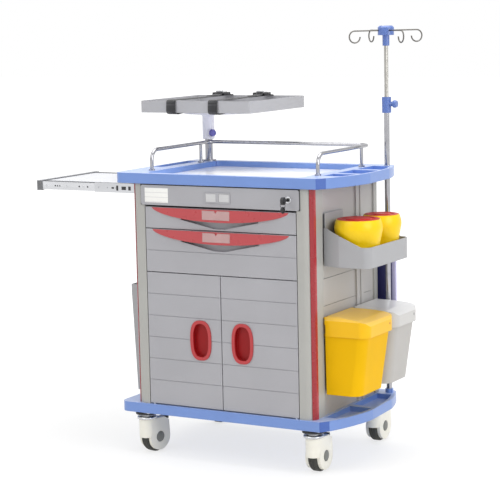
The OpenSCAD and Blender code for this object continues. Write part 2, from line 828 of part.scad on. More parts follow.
module sleeve_knob() color("#5a55b0")
    translate([post_x, post_y, sleeve_z0 + 23]) rotate([0, 0, -35]) {
        rod_x(post_r + 1, sleeve_r + 4.4, 0, 0, 3);
        translate([sleeve_r + 4.4, 0, 0]) rotate([0, 90, 0]) knob();
    }

module monitor_tray() color("#a9a8ad") difference() {
    plan_solid(tray_z0, tray_z1) round_area(tray_x0, tray_x1, tray_y0, tray_y1, 8);
    plan_solid(tray_z0 + 3, tray_z1 + 1) round_area(tray_x0 + 3, tray_x1 - 3, tray_y0 + 3, tray_y1 - 3, 5);
    rod(tray_cx, tray_cy, tray_z0 - 1, tray_z0 + 4, 10 + fit);
}

module tray_straps() color(dark) for (x = strap_xs) {
    block(x - strap_w / 2, x + strap_w / 2, tray_y0 - strap_t - 0.4, tray_y1 + strap_t + 0.4,
        tray_z1 + 0.4, tray_z1 + 0.4 + strap_t);
    for (y = [tray_y0 - strap_t - 0.4, tray_y1 + 0.4])
        block(x - strap_w / 2, x + strap_w / 2, y, y + strap_t, tray_z0 + 2, tray_z1 + 1);
    // buckle near the rear rim
    block(x - strap_w / 2 - 4, x + strap_w / 2 + 4, tray_y1 - 82, tray_y1 - 32,
        tray_z1 + 0.4 + strap_t, tray_z1 + 15 + strap_t);
}

// ---- side equipment ----

module chart_pocket() color("#a8a8ac") {
    x0 = -panel_x - 4.5;
    x1 = -half_w - pocket_out + 4;
    y0 = -175;
    z0 = base_z1 + 24;
    difference() {
        front_solid(y0, y0 + pocket_l)
            polygon([[x0, z0], [x1 + 16, z0], [x1, z0 + pocket_h - 26], [x1, z0 + pocket_h], [x0, z0 + pocket_h]]);
        front_solid(y0 + 3, y0 + pocket_l - 3)
            polygon([[x0 - 3, z0 + 3], [x1 + 19, z0 + 3], [x1 + 3, z0 + pocket_h - 26],
                [x1 + 3, z0 + pocket_h + 1], [x0 - 3, z0 + pocket_h + 1]]);
    }
    for (y = [y0 + 40, y0 + pocket_l - 70], z = [z0 + 60, z0 + pocket_h - 80])
        block(x0, -panel_x, y, y + 30, z, z + 20);
}

module sharps_plan(w = 0) {
    r = 24 - w;
    x0 = hang_x + w;
    x1 = hang_x + sharps_out - w;
    y0 = sharps_y0 + w;
    y1 = sharps_y0 + sharps_l - w;
    polygon([[x0, y0 + 12], [x0 + 60, y0], [x1 - r, y0], [x1, y0 + r], [x1, y1 - r], [x1 - r, y1],
        [x0 + 60, y1], [x0, y1 - 4]]);
    translate([x1 - r, y0 + r]) circle(r);
    translate([x1 - r, y1 - r]) circle(r);
}

module sharps_tray() color("#a9a9ad") {
    x1 = hang_x + sharps_out;
    z1 = sharps_z0 + sharps_h;
    difference() {
        intersection() {
            plan_solid(sharps_z0, z1 + 60) sharps_plan();
            front_solid(sharps_y0 - 1, sharps_y0 + sharps_l + 1) polygon([[hang_x, sharps_z0], [x1, sharps_z0],
                [x1, z1], [x1 - 30, z1], [hang_x + 8, z1 + 57], [hang_x, z1 + 57]]);
        }
        plan_solid(sharps_z0 + 3, z1 + 61) sharps_plan(3);
    }
    // raised ear on the back wall, and the blocks behind it
    block(hang_x, hang_x + 3, sharps_y0 + 18, sharps_y0 + 150, z1 + 50, z1 + 106);
    for (y = [sharps_y0 + 40, sharps_y0 + 190]) block(panel_x, hang_x, y, y + 36, z1 - 20, z1 + 40);
}

// half outline of a pot, with a rounded shoulder and a seat for the lid
function pot_profile(r) = [[0, 0], [r - 13, 0], [r - 11, 3], [r - 8, pot_h - 76], [r - 0.6, pot_h - 38],
    [r, pot_h - 30], [r - 0.6, pot_h - 22], [r - 2.5, pot_h - 13], [r - 5, pot_h - 5], [r - 7.5, pot_h],
    [0, pot_h]];

function pot_x(r) = hang_x + sharps_out - r - slack;

module pot(y, r) color("#f6d12a") translate([pot_x(r), y, pot_z0]) difference() {
    rotate_extrude() polygon(pot_profile(r));
    translate([0, 0, 2]) cylinder(r1 = r - 15, r2 = r - 14, h = pot_h);
    translate([0, 0, pot_h - 5]) cylinder(r = r - 9.2, h = 6);
}

module pot_lid(y, r) color(red) translate([pot_x(r), y, pot_z1]) rotate_extrude()
    polygon([[0, slack - 5], [r - 9.2 - fit, slack - 5], [r - 9.2 - fit, 0.5], [r - 12, 1.5], [r - 24, 1.5],
        [r - 26, -0.5], [r - 36, -0.5], [r - 38, 2.5], [r - 42, 3], [0, 3]]);

module front_pot() pot(front_pot_y, front_pot_r);
module front_pot_lid() pot_lid(front_pot_y, front_pot_r);
module rear_pot() pot(rear_pot_y, rear_pot_r);
module rear_pot_lid() pot_lid(rear_pot_y, rear_pot_r);

// plan of a bin's outline with rounded outer corners
module bin_plan(x1, y0, y1, r) {
    area(bin_back_x, x1 - r, y0, y1);
    area(bin_back_x, x1, y0 + r, y1 - r);
    translate([x1 - r, y0 + r]) circle(r, $fn = 48);
    translate([x1 - r, y1 - r]) circle(r, $fn = 48);
}

module bin_block(y0, l, w, z0) hull() {
    translate([w > 0 ? w : 0, 0, z0]) linear_extrude(0.1)
        bin_plan(bin_back_x + bin_out - 30 - 2 * w, y0 + 9 + w, y0 + l - 14 - w, 36 - w);
    translate([w > 0 ? w : 0, 0, bin_z1 - 0.1 + (w > 0 ? 1 : 0)]) linear_extrude(0.1)
        bin_plan(bin_back_x + bin_out - 2 * w, y0 + 4 + w, y0 + l - 4 - w, 31 - w);
}

// draws its children at both ends of a bin
module both_ends(y0, l) {
    children();
    translate([0, 2 * y0 + l, 0]) mirror([0, 1, 0]) children();
}

module bin(y0, l, paint) color(paint) {
    difference() {
        bin_block(y0, l, 0, bin_z0);
        bin_block(y0, l, bin_wall, bin_z0 + bin_wall);
    }
    both_ends(y0, l) {
        // hook that drops behind a wall hanger
        block(panel_x + 1.5, bin_back_x, y0 + hanger_y + 2, y0 + hanger_y + hanger_w - 2, bin_z0 + 198, bin_z0 + 201);
        block(panel_x + 1.5, panel_x + 4.5, y0 + hanger_y + 2, y0 + hanger_y + hanger_w - 2, bin_z0 + 188, bin_z0 + 198);
        // hinge ear and its pin
        block(lid_axis_x - 3.3, bin_back_x + 0.5, y0 + 15, y0 + 18, bin_z0 + 215, lid_axis_z);
        rod_y(y0 + 15, y0 + 18, lid_axis_x, lid_axis_z, 3.5);
        rod_y(y0 + 4, y0 + 16, lid_axis_x, lid_axis_z, 2);
    }
}

// section of a lid from the wall outwards, shrunk by w
module lid_shape(w = 0) polygon([[bin_back_x + w - 0.5, lid_z0 - w], [lid_x1 - w, lid_z0 - w],
    [lid_x1 - w, lid_z1 - 26 - w], [lid_x1 - 9 - w, lid_z1 - 15 - w], [lid_x1 - 40, lid_z1 - 7 - w],
    [lid_x1 - 90, lid_z1 - 2 - w], [lid_x1 - 120, lid_z1 - w], [bin_back_x + w - 0.5, lid_z1 - w]]);

// section of a lid along the side, shrunk by w
module lid_length(y0, y1, w = 0) polygon([[y0 + w, lid_z0 - w], [y1 - w, lid_z0 - w],
    [y1 - w, lid_z1 - 12 - w], [y1 - 7, lid_z1 - 4 - w], [y1 - 20, lid_z1 - w],
    [y0 + 20, lid_z1 - w], [y0 + 7, lid_z1 - 4 - w], [y0 + w, lid_z1 - 12 - w]]);

module lid_block(y0, y1, w = 0) intersection() {
    front_solid(y0 - 1, y1 + 1) lid_shape(w);
    side_solid(bin_back_x - 1, lid_x1 + 1) lid_length(y0, y1, w);
    plan_solid(lid_z0 - w - 0.5, lid_z1) bin_plan(lid_x1 - w, y0 + w, y1 - w, 34 - w);
}

module bin_lid(y0, l, paint) color(paint) difference() {
    union() {
        difference() {
            lid_block(y0, y0 + l);
            lid_block(y0, y0 + l, bin_wall);
            // open towards the wall, below the hinge
            block(bin_back_x - 5, bin_back_x + 4, y0 - 1, y0 + l + 1, lid_z0 - 5, bin_z1 + slack);
        }
        both_ends(y0, l) rod_y(y0 + 5, y0 + 14, lid_axis_x, lid_axis_z, 3.5);
    }
    both_ends(y0, l) {
        rod_y(y0 - 1, y0 + 15, lid_axis_x, lid_axis_z, 2 + fit);
        block(bin_back_x - 6, bin_back_x + 3.5, y0 + 14, y0 + 19, lid_z0 - 5, lid_z1 + 1);
    }
}

module front_bin() bin(front_bin_y, front_bin_l, "#efb607");
module front_bin_lid() bin_lid(front_bin_y, front_bin_l, "#ffd57b");
module rear_bin() bin(rear_bin_y, rear_bin_l, "#c8c4c1");
module rear_bin_lid() bin_lid(rear_bin_y, rear_bin_l, "#e1e1e1");

module back_board() color("#4a55a0") front_solid(board_y0, board_y0 + board_t) difference() {
    round_area(board_cx - board_w / 2, board_cx + board_w / 2, board_z0, board_z0 + board_h, 30);
    for (s = [-1, 1]) round_area(board_cx + s * (board_w / 2 - 45) - 14, board_cx + s * (board_w / 2 - 45) + 14,
        slot_z - 40, slot_z + 40, 13.9);
}

// ---- casters ----

fork_w = wheel_w + 23;
axle_z = wheel_d / 2;
fork_top = wheel_d + 14;
cap_r = 19;
pedal_y = caster_trail + 23;
pedal_z = fork_top - 8;

// everything of a caster is drawn round its swivel and then put in place
module at_caster(sx, sy) {
    turn = sx < 0 && sy < 0 ? front_left_turn : 0;
    translate([sx * caster_x, sy * caster_y, 0]) rotate([0, 0, turn]) children();
}

module fork_flank() polygon([[-fork_w / 2, axle_z + 3], [-fork_w / 2, fork_top],
    [caster_trail + 20, fork_top], [caster_trail + axle_z - 11, fork_top - 14],
    [caster_trail + axle_z - 7, axle_z + 3], [caster_trail, axle_z - 4], [caster_trail - axle_z + 10, axle_z + 3]]);

module fork(sx, sy) color(cream) at_caster(sx, sy) difference() {
    union() {
        rod_x(-fork_w / 2, fork_w / 2, caster_trail, axle_z, axle_z - 7);
        intersection() {
            side_solid(-fork_w / 2 - 1, fork_w / 2 + 1) fork_flank();
            union() {
                rod(0, 0, axle_z - 5, fork_top, fork_w / 2);
                block(-fork_w / 2, fork_w / 2, 0, caster_trail + axle_z, axle_z - 5, fork_top);
            }
        }
    }
    // wheel well, hub bores, kingpin bore
    rod_x(-wheel_w / 2 - 1, wheel_w / 2 + 1, caster_trail, axle_z, axle_z + 2);
    rod_x(-fork_w, fork_w, caster_trail, axle_z, cap_r + fit);
    rod(0, 0, axle_z, fork_top + 1, 7 + fit);
    if (sy < 0) {
        block(-10.5, 10.5, pedal_y - 9, caster_trail + axle_z, axle_z + 30, fork_top + 1);
        rod_x(-17, 17, pedal_y, pedal_z, 2.5 + fit);
    }
}

module wheel(sx, sy) color("#4a4a48") at_caster(sx, sy) translate([-fork_w / 2 - 1, caster_trail, axle_z])
    rotate([0, 90, 0]) rotate_extrude($fn = 96) polygon([[0, 0], [cap_r - 2, 0], [cap_r, 2],
        [cap_r, fork_w / 2 + 1 - wheel_w / 2], [axle_z - 6, fork_w / 2 + 1 - wheel_w / 2],
        [axle_z - 1.5, fork_w / 2 + 4 - wheel_w / 2], [axle_z, fork_w / 2 + 9 - wheel_w / 2],
        [axle_z, fork_w / 2 - 7 + wheel_w / 2], [axle_z - 1.5, fork_w / 2 - 2 + wheel_w / 2],
        [axle_z - 6, fork_w / 2 + 1 + wheel_w / 2], [cap_r, fork_w / 2 + 1 + wheel_w / 2],
        [cap_r, fork_w], [cap_r - 2, fork_w + 2], [0, fork_w + 2]]);

module pedal(sx, sy) color(dark) at_caster(sx, sy) {
    rod_x(-16.5, 16.5, pedal_y, pedal_z, 2.5);
    block(-9.5, 9.5, pedal_y - 5, pedal_y + 32, pedal_z - 2, pedal_z + 4);
    block(-13, 13, pedal_y + 24, pedal_y + 33, pedal_z - 6, pedal_z + 5);
}

module front_left_fork() fork(-1, -1);
module front_left_wheel() wheel(-1, -1);
module front_left_pedal() pedal(-1, -1);
module front_right_fork() fork(1, -1);
module front_right_wheel() wheel(1, -1);
module front_right_pedal() pedal(1, -1);
module rear_left_fork() fork(-1, 1);
module rear_left_wheel() wheel(-1, 1);
module rear_right_fork() fork(1, 1);
module rear_right_wheel() wheel(1, 1);

// ---- fixed metal parts and keys ----

module fittings() color(steel) {
    // caster plates, collars and kingpins
    for (sx = [-1, 1], sy = [-1, 1]) at_caster(sx, sy) {
        block(-34, 34, -26, 26, base_z0 - 4, base_z0);
        rod(0, 0, fork_top + 9.5, base_z0 - 4, 19);
        rod(0, 0, fork_top + slack, fork_top + 9.5, 32);
        rod(0, 0, fork_top - 9, fork_top + slack, 7);
    }
    for (s = [0, 1]) mirror([s, 0, 0]) {
        // door pivots
        rod(pivot_x, pivot_y, base_z1, door_foot - slack, 6);
        rod(pivot_x, pivot_y, door_foot - slack, door_foot + 14, hinge_pin_r);
        block(pivot_x - 5, inner_x, pivot_y - 3, pivot_y + 6, door_z1 + 3, door_z1 + 6);
        rod(pivot_x, pivot_y, door_z1 - 14, door_z1 + 3, hinge_pin_r);
    }
    // lock barrel
    difference() {
        union() {
            rod_y(panel_y - 2, panel_y, lock_x, lock_z, 11);
            rod_y(panel_y, front_y + 6, lock_x, lock_z, 9);
        }
        rod_y(panel_y - 3, front_y, lock_x, lock_z, 5.5 + fit);
    }
    // wall hangers for the bins
    for (b = [[front_bin_y, front_bin_l], [rear_bin_y, rear_bin_l]]) both_ends(b[0], b[1]) {
        block(panel_x, panel_x + 8, b[0] + hanger_y, b[0] + hanger_y + hanger_w, bin_z0 + 182, bin_z0 + 186);
        block(panel_x + 5.5, panel_x + 8, b[0] + hanger_y, b[0] + hanger_y + hanger_w, bin_z0 + 186, bin_z0 + 196);
    }
    // cradles for the board
    for (s = [-1, 1]) {
        x = s * (half_w - 30);
        block(x - 12, x + 12, back_y, board_y0 + board_t + 3.5, board_z0 - 3.5, board_z0 - 0.5);
        block(x - 12, x + 12, board_y0 + board_t + 1, board_y0 + board_t + 3.5, board_z0 - 0.5, board_z0 + 22);
    }
}

// a key: head in the Y-Z plane, blade towards +Y, drawn at its collar
module key_shape() {
    block(-1, 1, -2, 18, -4, 4);
    difference() {
        side_solid(-4.5, 4.5) round_area(-25, -2, -12.5, 12.5, 10.5);
        rod_x(-5, 5, -16, -5, 2.5);
    }
}

module lock_key() color(dark) translate([lock_x, 0, lock_z]) {
    rod_y(panel_y - 3, front_y - 0.5, 0, 0, 5.5);
    translate([0, panel_y - 20, 0]) key_shape();
}

module spare_key() color(dark) translate([lock_x, panel_y - 36, lock_z - 5]) {
    translate([0, 0, -9]) rotate([90, 0, 0]) rotate_extrude() translate([9, 0]) circle(0.8, $fn = 16);
    difference() {
        side_solid(-4, 4) round_area(-9, 9, -33.5, -14, 8.5);
        rod_x(-5, 5, 0, -18, 2.5);
    }
    block(-1, 1, -4, 4, -35.5, -33);
}

// ---- assembly ----

// moves the origin under the middle of the whole object
module placed() translate([-(x_lo + x_hi) / 2, -(y_lo + y_hi) / 2, 0]) children();

placed() base_tray();
placed() top_plate();
placed() worktop();
placed() columns();
placed() accent_strips();
placed() body_panels();
placed() cabinet_decks();
placed() lock_panel();
placed() guard_rail();
placed() slide_rails();
placed() shelf_post();
placed() lower_pole();
placed() pole_clamp();
placed() chart_pocket();
placed() sharps_tray();
placed() fittings();
placed() lock_key();
placed() spare_key();
placed() upper_box();
placed() upper_front();
placed() upper_pull();
placed() upper_window();
placed() lower_box();
placed() lower_front();
placed() lower_pull();
placed() lower_window();
placed() left_door();
placed() left_cup();
placed() right_door();
placed() right_cup();
placed() upper_pole();
placed() hook_head();
placed() drip_hooks();
placed() pole_knob();
placed() post_sleeve();
placed() sleeve_knob();
placed() monitor_tray();
placed() tray_straps();
placed() shelf_frame();
placed() shelf_plate();
placed() shelf_links();
placed() front_bin();
placed() front_bin_lid();
placed() rear_bin();
placed() rear_bin_lid();
placed() front_pot();
placed() front_pot_lid();
placed() rear_pot();
placed() rear_pot_lid();
placed() back_board();
placed() front_left_pedal();
placed() front_right_pedal();
placed() front_left_fork();
placed() front_left_wheel();
placed() front_right_fork();
placed() front_right_wheel();
placed() rear_left_fork();
placed() rear_left_wheel();
placed() rear_right_fork();
placed() rear_right_wheel();
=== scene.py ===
# Hospital crash cart: finishes, small fitted pieces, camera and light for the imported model
import bpy, bmesh
import json, math
from mathutils import Matrix, Vector


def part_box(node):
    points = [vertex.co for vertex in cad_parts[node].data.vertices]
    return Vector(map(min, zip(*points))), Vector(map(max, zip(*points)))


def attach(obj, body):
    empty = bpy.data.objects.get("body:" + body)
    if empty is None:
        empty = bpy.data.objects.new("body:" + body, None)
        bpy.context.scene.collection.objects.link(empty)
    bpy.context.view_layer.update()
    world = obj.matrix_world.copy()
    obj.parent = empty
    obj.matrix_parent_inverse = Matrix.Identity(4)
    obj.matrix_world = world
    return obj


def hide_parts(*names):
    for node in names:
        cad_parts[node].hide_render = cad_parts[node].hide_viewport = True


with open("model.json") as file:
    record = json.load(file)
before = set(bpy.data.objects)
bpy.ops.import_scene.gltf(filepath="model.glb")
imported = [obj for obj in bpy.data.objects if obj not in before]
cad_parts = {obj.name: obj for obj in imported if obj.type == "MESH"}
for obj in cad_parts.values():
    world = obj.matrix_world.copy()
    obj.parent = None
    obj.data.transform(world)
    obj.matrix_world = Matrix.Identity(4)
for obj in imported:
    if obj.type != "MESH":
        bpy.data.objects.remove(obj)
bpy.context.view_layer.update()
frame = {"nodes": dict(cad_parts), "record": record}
nodes = frame["nodes"]
print("frame loaded:", len(nodes), "nodes")


def srgb(r, g, b):
    # 0-255 screen colour to the scene's own scale
    return tuple(((c / 255 + 0.055) / 1.055) ** 2.4 for c in (r, g, b)) + (1.0,)


def shade(colour, factor):
    return tuple(min(c * factor, 1.0) for c in colour[:3]) + (1.0,)


def newMaterial(name):
    mat = bpy.data.materials.new(name)
    mat.use_nodes = True
    tree = mat.node_tree
    tree.nodes.clear()
    out = tree.nodes.new("ShaderNodeOutputMaterial")
    shader = tree.nodes.new("ShaderNodeBsdfPrincipled")
    tree.links.new(shader.outputs["BSDF"], out.inputs["Surface"])
    place = tree.nodes.new("ShaderNodeTexCoord")
    return mat, tree, shader, place.outputs["Object"]


def noise(tree, place, scale, detail=2.0, stretch=None):
    # stretch squeezes the pattern along some axes, as on brushed metal
    if stretch:
        mapping = tree.nodes.new("ShaderNodeMapping")
        mapping.inputs["Scale"].default_value = stretch
        tree.links.new(place, mapping.inputs["Vector"])
        place = mapping.outputs["Vector"]
    tex = tree.nodes.new("ShaderNodeTexNoise")
    tex.inputs["Scale"].default_value = scale
    tex.inputs["Detail"].default_value = detail
    tree.links.new(place, tex.inputs["Vector"])
    return tex.outputs["Fac"]


def ramp(tree, value, stops):
    node = tree.nodes.new("ShaderNodeValToRGB")
    node.color_ramp.elements[0].position = stops[0][0]
    node.color_ramp.elements[0].color = stops[0][1]
    node.color_ramp.elements[1].position = stops[-1][0]
    node.color_ramp.elements[1].color = stops[-1][1]
    for where, colour in stops[1:-1]:
        node.color_ramp.elements.new(where).color = colour
    tree.links.new(value, node.inputs["Fac"])
    return node.outputs["Color"]


def span(tree, value, low, high):
    node = tree.nodes.new("ShaderNodeMapRange")
    node.inputs["To Min"].default_value = low
    node.inputs["To Max"].default_value = high
    tree.links.new(value, node.inputs["Value"])
    return node.outputs["Result"]


def mixColours(tree, factor, a, b):
    node = tree.nodes.new("ShaderNodeMix")
    node.data_type = "RGBA"
    for socket, value in ((node.inputs[0], factor), (node.inputs[6], a), (node.inputs[7], b)):
        if isinstance(value, bpy.types.NodeSocket):
            tree.links.new(value, socket)
        else:
            socket.default_value = value
    return node.outputs[2]


def bump(tree, height, strength, distance, under=None):
    node = tree.nodes.new("ShaderNodeBump")
    node.inputs["Strength"].default_value = strength
    node.inputs["Distance"].default_value = distance
    tree.links.new(height, node.inputs["Height"])
    if under:
        tree.links.new(under, node.inputs["Normal"])
    return node.outputs["Normal"]


def softEdge(tree, radius):
    node = tree.nodes.new("ShaderNodeBevel")
    node.samples = 4
    node.inputs["Radius"].default_value = radius
    return node.outputs["Normal"]


def edgeMask(tree, rounded):
    # 1 along the edges, where the rounded normal leaves the flat one
    flat = tree.nodes.new("ShaderNodeNewGeometry").outputs["Normal"]
    dot = tree.nodes.new("ShaderNodeVectorMath")
    dot.operation = "DOT_PRODUCT"
    tree.links.new(rounded, dot.inputs[0])
    tree.links.new(flat, dot.inputs[1])
    ends = tree.nodes.new("ShaderNodeMapRange")
    ends.inputs["From Min"].default_value = 0.995
    ends.inputs["From Max"].default_value = 0.85
    tree.links.new(dot.outputs["Value"], ends.inputs["Value"])
    return ends.outputs["Result"]


# what a plastic has where its own finish says nothing else
plasticLook = {"rough": 0.4, "cloud": 0.03, "edge": 0.0015, "paleEdges": 0.3, "paleEdgesTone": 1.35, "grain": 0.12,
               "grainScale": 900.0, "coat": 0.0, "coatRough": 0.12, "specular": 0.5}


def mouldedPlastic(name, look):
    # injection-moulded plastic: faint clouds in the colour, fine grain, and paler edges that are a painted
    # highlight, as if the edges caught the light
    look = {**plasticLook, **look}
    mat, tree, shader, place = newMaterial(name)
    base = srgb(*look["colour"])
    clouds = noise(tree, place, 7.0, 3.0)
    colour = ramp(tree, clouds, [(0.3, shade(base, 1 - look["cloud"])),
                                 (0.7, shade(base, 1 + look["cloud"]))])
    rounded = softEdge(tree, look["edge"])
    # painted highlight: the colour is paled along the edges, as if they caught the light
    paintedEdgeHighlight = span(tree, edgeMask(tree, rounded), 0.0, look["paleEdges"])
    colour = mixColours(tree, paintedEdgeHighlight, colour, shade(base, look["paleEdgesTone"]))
    tree.links.new(colour, shader.inputs["Base Color"])
    streaks = noise(tree, place, 28.0, 4.0)
    tree.links.new(span(tree, streaks, look["rough"] - 0.05, look["rough"] + 0.06),
                   shader.inputs["Roughness"])
    grain = noise(tree, place, look["grainScale"], 2.0)
    tree.links.new(bump(tree, grain, look["grain"], 0.0004, rounded), shader.inputs["Normal"])
    shader.inputs["Coat Weight"].default_value = look["coat"]
    shader.inputs["Coat Roughness"].default_value = look["coatRough"]
    shader.inputs["Specular IOR Level"].default_value = look["specular"]
    return mat


metalLook = {"rough": 0.15, "stretch": (1, 1, 1), "edge": 0.0008, "brush": 0.04, "metallic": 1.0}


def metal(name, look):
    # tube, sheet or turned steel; the brushing runs along the axis with the small stretch
    look = {**metalLook, **look}
    mat, tree, shader, place = newMaterial(name)
    base = srgb(*look["colour"])
    lines = noise(tree, place, 60.0, 3.0, look["stretch"])
    tree.links.new(ramp(tree, lines, [(0.3, shade(base, 0.9)), (0.7, shade(base, 1.06))]),
                   shader.inputs["Base Color"])
    tree.links.new(span(tree, lines, look["rough"] * 0.7, look["rough"] * 1.4), shader.inputs["Roughness"])
    rounded = softEdge(tree, look["edge"])
    tree.links.new(bump(tree, lines, look["brush"], 0.0002, rounded), shader.inputs["Normal"])
    shader.inputs["Metallic"].default_value = look["metallic"]
    return mat


def glossSheet(name, look):
    # the smooth sheet laid into the top: clear coat over a milky body, with wipe marks
    mat, tree, shader, place = newMaterial(name)
    base = srgb(*look["colour"])
    clouds = noise(tree, place, 4.0, 2.0)
    tree.links.new(ramp(tree, clouds, [(0.3, shade(base, 0.97)), (0.7, shade(base, 1.02))]),
                   shader.inputs["Base Color"])
    wipes = noise(tree, place, 9.0, 5.0, (1, 3, 1))
    tree.links.new(span(tree, wipes, look["rough"] * 0.6, look["rough"] * 1.5), shader.inputs["Roughness"])
    tree.links.new(bump(tree, wipes, 0.02, 0.0003), shader.inputs["Normal"])
    shader.inputs["Coat Weight"].default_value = 0.2
    shader.inputs["Coat Roughness"].default_value = 0.1
    return mat


def clearWindow(name, look):
    # thin clear plastic over the red pull
    mat, tree, shader, place = newMaterial(name)
    base = srgb(*look["colour"])
    haze = noise(tree, place, 30.0, 3.0)
    tree.links.new(ramp(tree, haze, [(0.3, shade(base, 0.95)), (0.7, shade(base, 1.04))]),
                   shader.inputs["Base Color"])
    tree.links.new(span(tree, haze, 0.08, 0.2), shader.inputs["Roughness"])
    tree.links.new(bump(tree, haze, 0.03, 0.0003), shader.inputs["Normal"])
    shader.inputs["Alpha"].default_value = look["alpha"]
    shader.inputs["Coat Weight"].default_value = 0.5
    return mat


def rubberTyre(name, look):
    mat, tree, shader, place = newMaterial(name)
    base = srgb(*look["colour"])
    dust = noise(tree, place, 45.0, 5.0)
    tree.links.new(ramp(tree, dust, [(0.35, base), (0.75, shade(base, 1.8))]), shader.inputs["Base Color"])
    tree.links.new(span(tree, dust, 0.55, 0.8), shader.inputs["Roughness"])
    grain = noise(tree, place, 1200.0, 2.0)
    tree.links.new(bump(tree, grain, 0.2, 0.0004), shader.inputs["Normal"])
    return mat


def wovenStrap(name, look):
    # nylon webbing: ribs across the strap and fine threads along it
    mat, tree, shader, place = newMaterial(name)
    base = srgb(*look["colour"])
    waves = []
    for direction, scale in (("X", look["threads"]), ("Y", look["ribs"])):
        wave = tree.nodes.new("ShaderNodeTexWave")
        wave.bands_direction = direction
        wave.inputs["Scale"].default_value = scale
        wave.inputs["Distortion"].default_value = 0.3
        tree.links.new(place, wave.inputs["Vector"])
        waves.append(wave.outputs["Fac"])
    weave = tree.nodes.new("ShaderNodeMath")
    weave.operation = "MULTIPLY"
    for wave, socket in zip(waves, weave.inputs):
        tree.links.new(wave, socket)
    tree.links.new(ramp(tree, weave.outputs[0], [(0.1, shade(base, 0.6)), (0.8, shade(base, 1.5))]),
                   shader.inputs["Base Color"])
    tree.links.new(span(tree, noise(tree, place, 60.0, 3.0), 0.7, 0.9), shader.inputs["Roughness"])
    tree.links.new(bump(tree, weave.outputs[0], 0.6, 0.0006), shader.inputs["Normal"])
    shader.inputs["Sheen Weight"].default_value = 0.3
    return mat


finishes = {
    "blue_shell": mouldedPlastic("blueShell", {"colour": (114, 146, 212), "rough": 0.34, "coat": 0.2,
                                               "edge": 0.004, "paleEdges": 0.35, "grain": 0.08}),
    "worktop_sheet": glossSheet("worktopSheet", {"colour": (253, 253, 255), "rough": 0.2}),
    "column_plastic": mouldedPlastic("columnPlastic", {"colour": (174, 174, 171), "rough": 0.38,
                                                       "edge": 0.001, "paleEdges": 0.2}),
    "red_strip": mouldedPlastic("redStrip", {"colour": (152, 16, 30), "rough": 0.26, "coat": 0.25,
                                             "edge": 0.001}),
    "panel_plastic": mouldedPlastic("panelPlastic", {"colour": (186, 184, 183), "rough": 0.42,
                                                     "grain": 0.2, "edge": 0.001}),
    "front_plastic": mouldedPlastic("frontPlastic", {"colour": (170, 170, 176), "rough": 0.4,
                                                     "grain": 0.18, "edge": 0.0016, "paleEdges": 0.25}),
    "box_plastic": mouldedPlastic("boxPlastic", {"colour": (206, 207, 210), "rough": 0.45}),
    "red_handle": mouldedPlastic("redHandle", {"colour": (184, 62, 68), "rough": 0.28, "coat": 0.3,
                                               "edge": 0.002, "paleEdges": 0.3}),
    "label_window": clearWindow("labelWindow", {"colour": (214, 176, 176), "alpha": 0.66}),
    "polished_tube": metal("polishedTube", {"colour": (168, 168, 172), "rough": 0.12}),
    "slide_steel": metal("slideSteel", {"colour": (200, 201, 204), "rough": 0.28,
                                        "stretch": (0.1, 1, 1), "brush": 0.1}),
    "shelf_aluminium": metal("shelfAluminium", {"colour": (212, 213, 216), "rough": 0.32, "metallic": 0.9,
                                                "stretch": (0.1, 1, 1), "brush": 0.08}),
    "shelf_panel": mouldedPlastic("shelfPanel", {"colour": (214, 215, 219), "rough": 0.45}),
    "blue_clamp": mouldedPlastic("blueClamp", {"colour": (88, 116, 184), "rough": 0.3, "coat": 0.3}),
    "pale_sleeve": mouldedPlastic("paleSleeve", {"colour": (242, 242, 251), "rough": 0.3, "coat": 0.3}),
    "violet_knob": mouldedPlastic("violetKnob", {"colour": (78, 74, 168), "rough": 0.25, "coat": 0.4}),
    "tray_grey": mouldedPlastic("trayGrey", {"colour": (178, 178, 182), "rough": 0.35, "edge": 0.0015}),
    "strap_web": wovenStrap("strapWeb", {"colour": (52, 52, 55), "threads": 420.0, "ribs": 260.0}),
    "pocket_grey": mouldedPlastic("pocketGrey", {"colour": (167, 168, 172), "rough": 0.38,
                                                 "grain": 0.16, "edge": 0.0015}),
    "yellow_plastic": mouldedPlastic("yellowPlastic", {"colour": (238, 186, 0), "rough": 0.5,
                                                       "specular": 0.12, "edge": 0.004, "paleEdges": 0.2,
                                                       "paleEdgesTone": 1.2}),
    "grey_plastic": mouldedPlastic("greyPlastic", {"colour": (182, 180, 178), "rough": 0.4,
                                                   "edge": 0.004}),
    "sharps_yellow": mouldedPlastic("sharpsYellow", {"colour": (247, 207, 6), "rough": 0.36,
                                                     "specular": 0.3, "coat": 0.1, "edge": 0.002}),
    "sharps_lid_red": mouldedPlastic("sharpsLidRed", {"colour": (186, 34, 22), "rough": 0.4,
                                                      "specular": 0.25}),
    "board_blue": mouldedPlastic("boardBlue", {"colour": (50, 52, 112), "rough": 0.35, "grain": 0.3,
                                               "grainScale": 300.0}),
    "caster_cream": mouldedPlastic("casterCream", {"colour": (244, 242, 232), "rough": 0.34,
                                                   "edge": 0.003, "paleEdges": 0.2, "paleEdgesTone": 1.1}),
    "tyre_rubber": rubberTyre("tyreRubber", {"colour": (52, 52, 49)}),
    "pedal_black": mouldedPlastic("pedalBlack", {"colour": (44, 44, 46), "rough": 0.4}),
    "key_black": mouldedPlastic("keyBlack", {"colour": (36, 36, 38), "rough": 0.35}),
}


def nodeOf(tree, kind):
    return next(n for n in tree.nodes if n.type == kind)


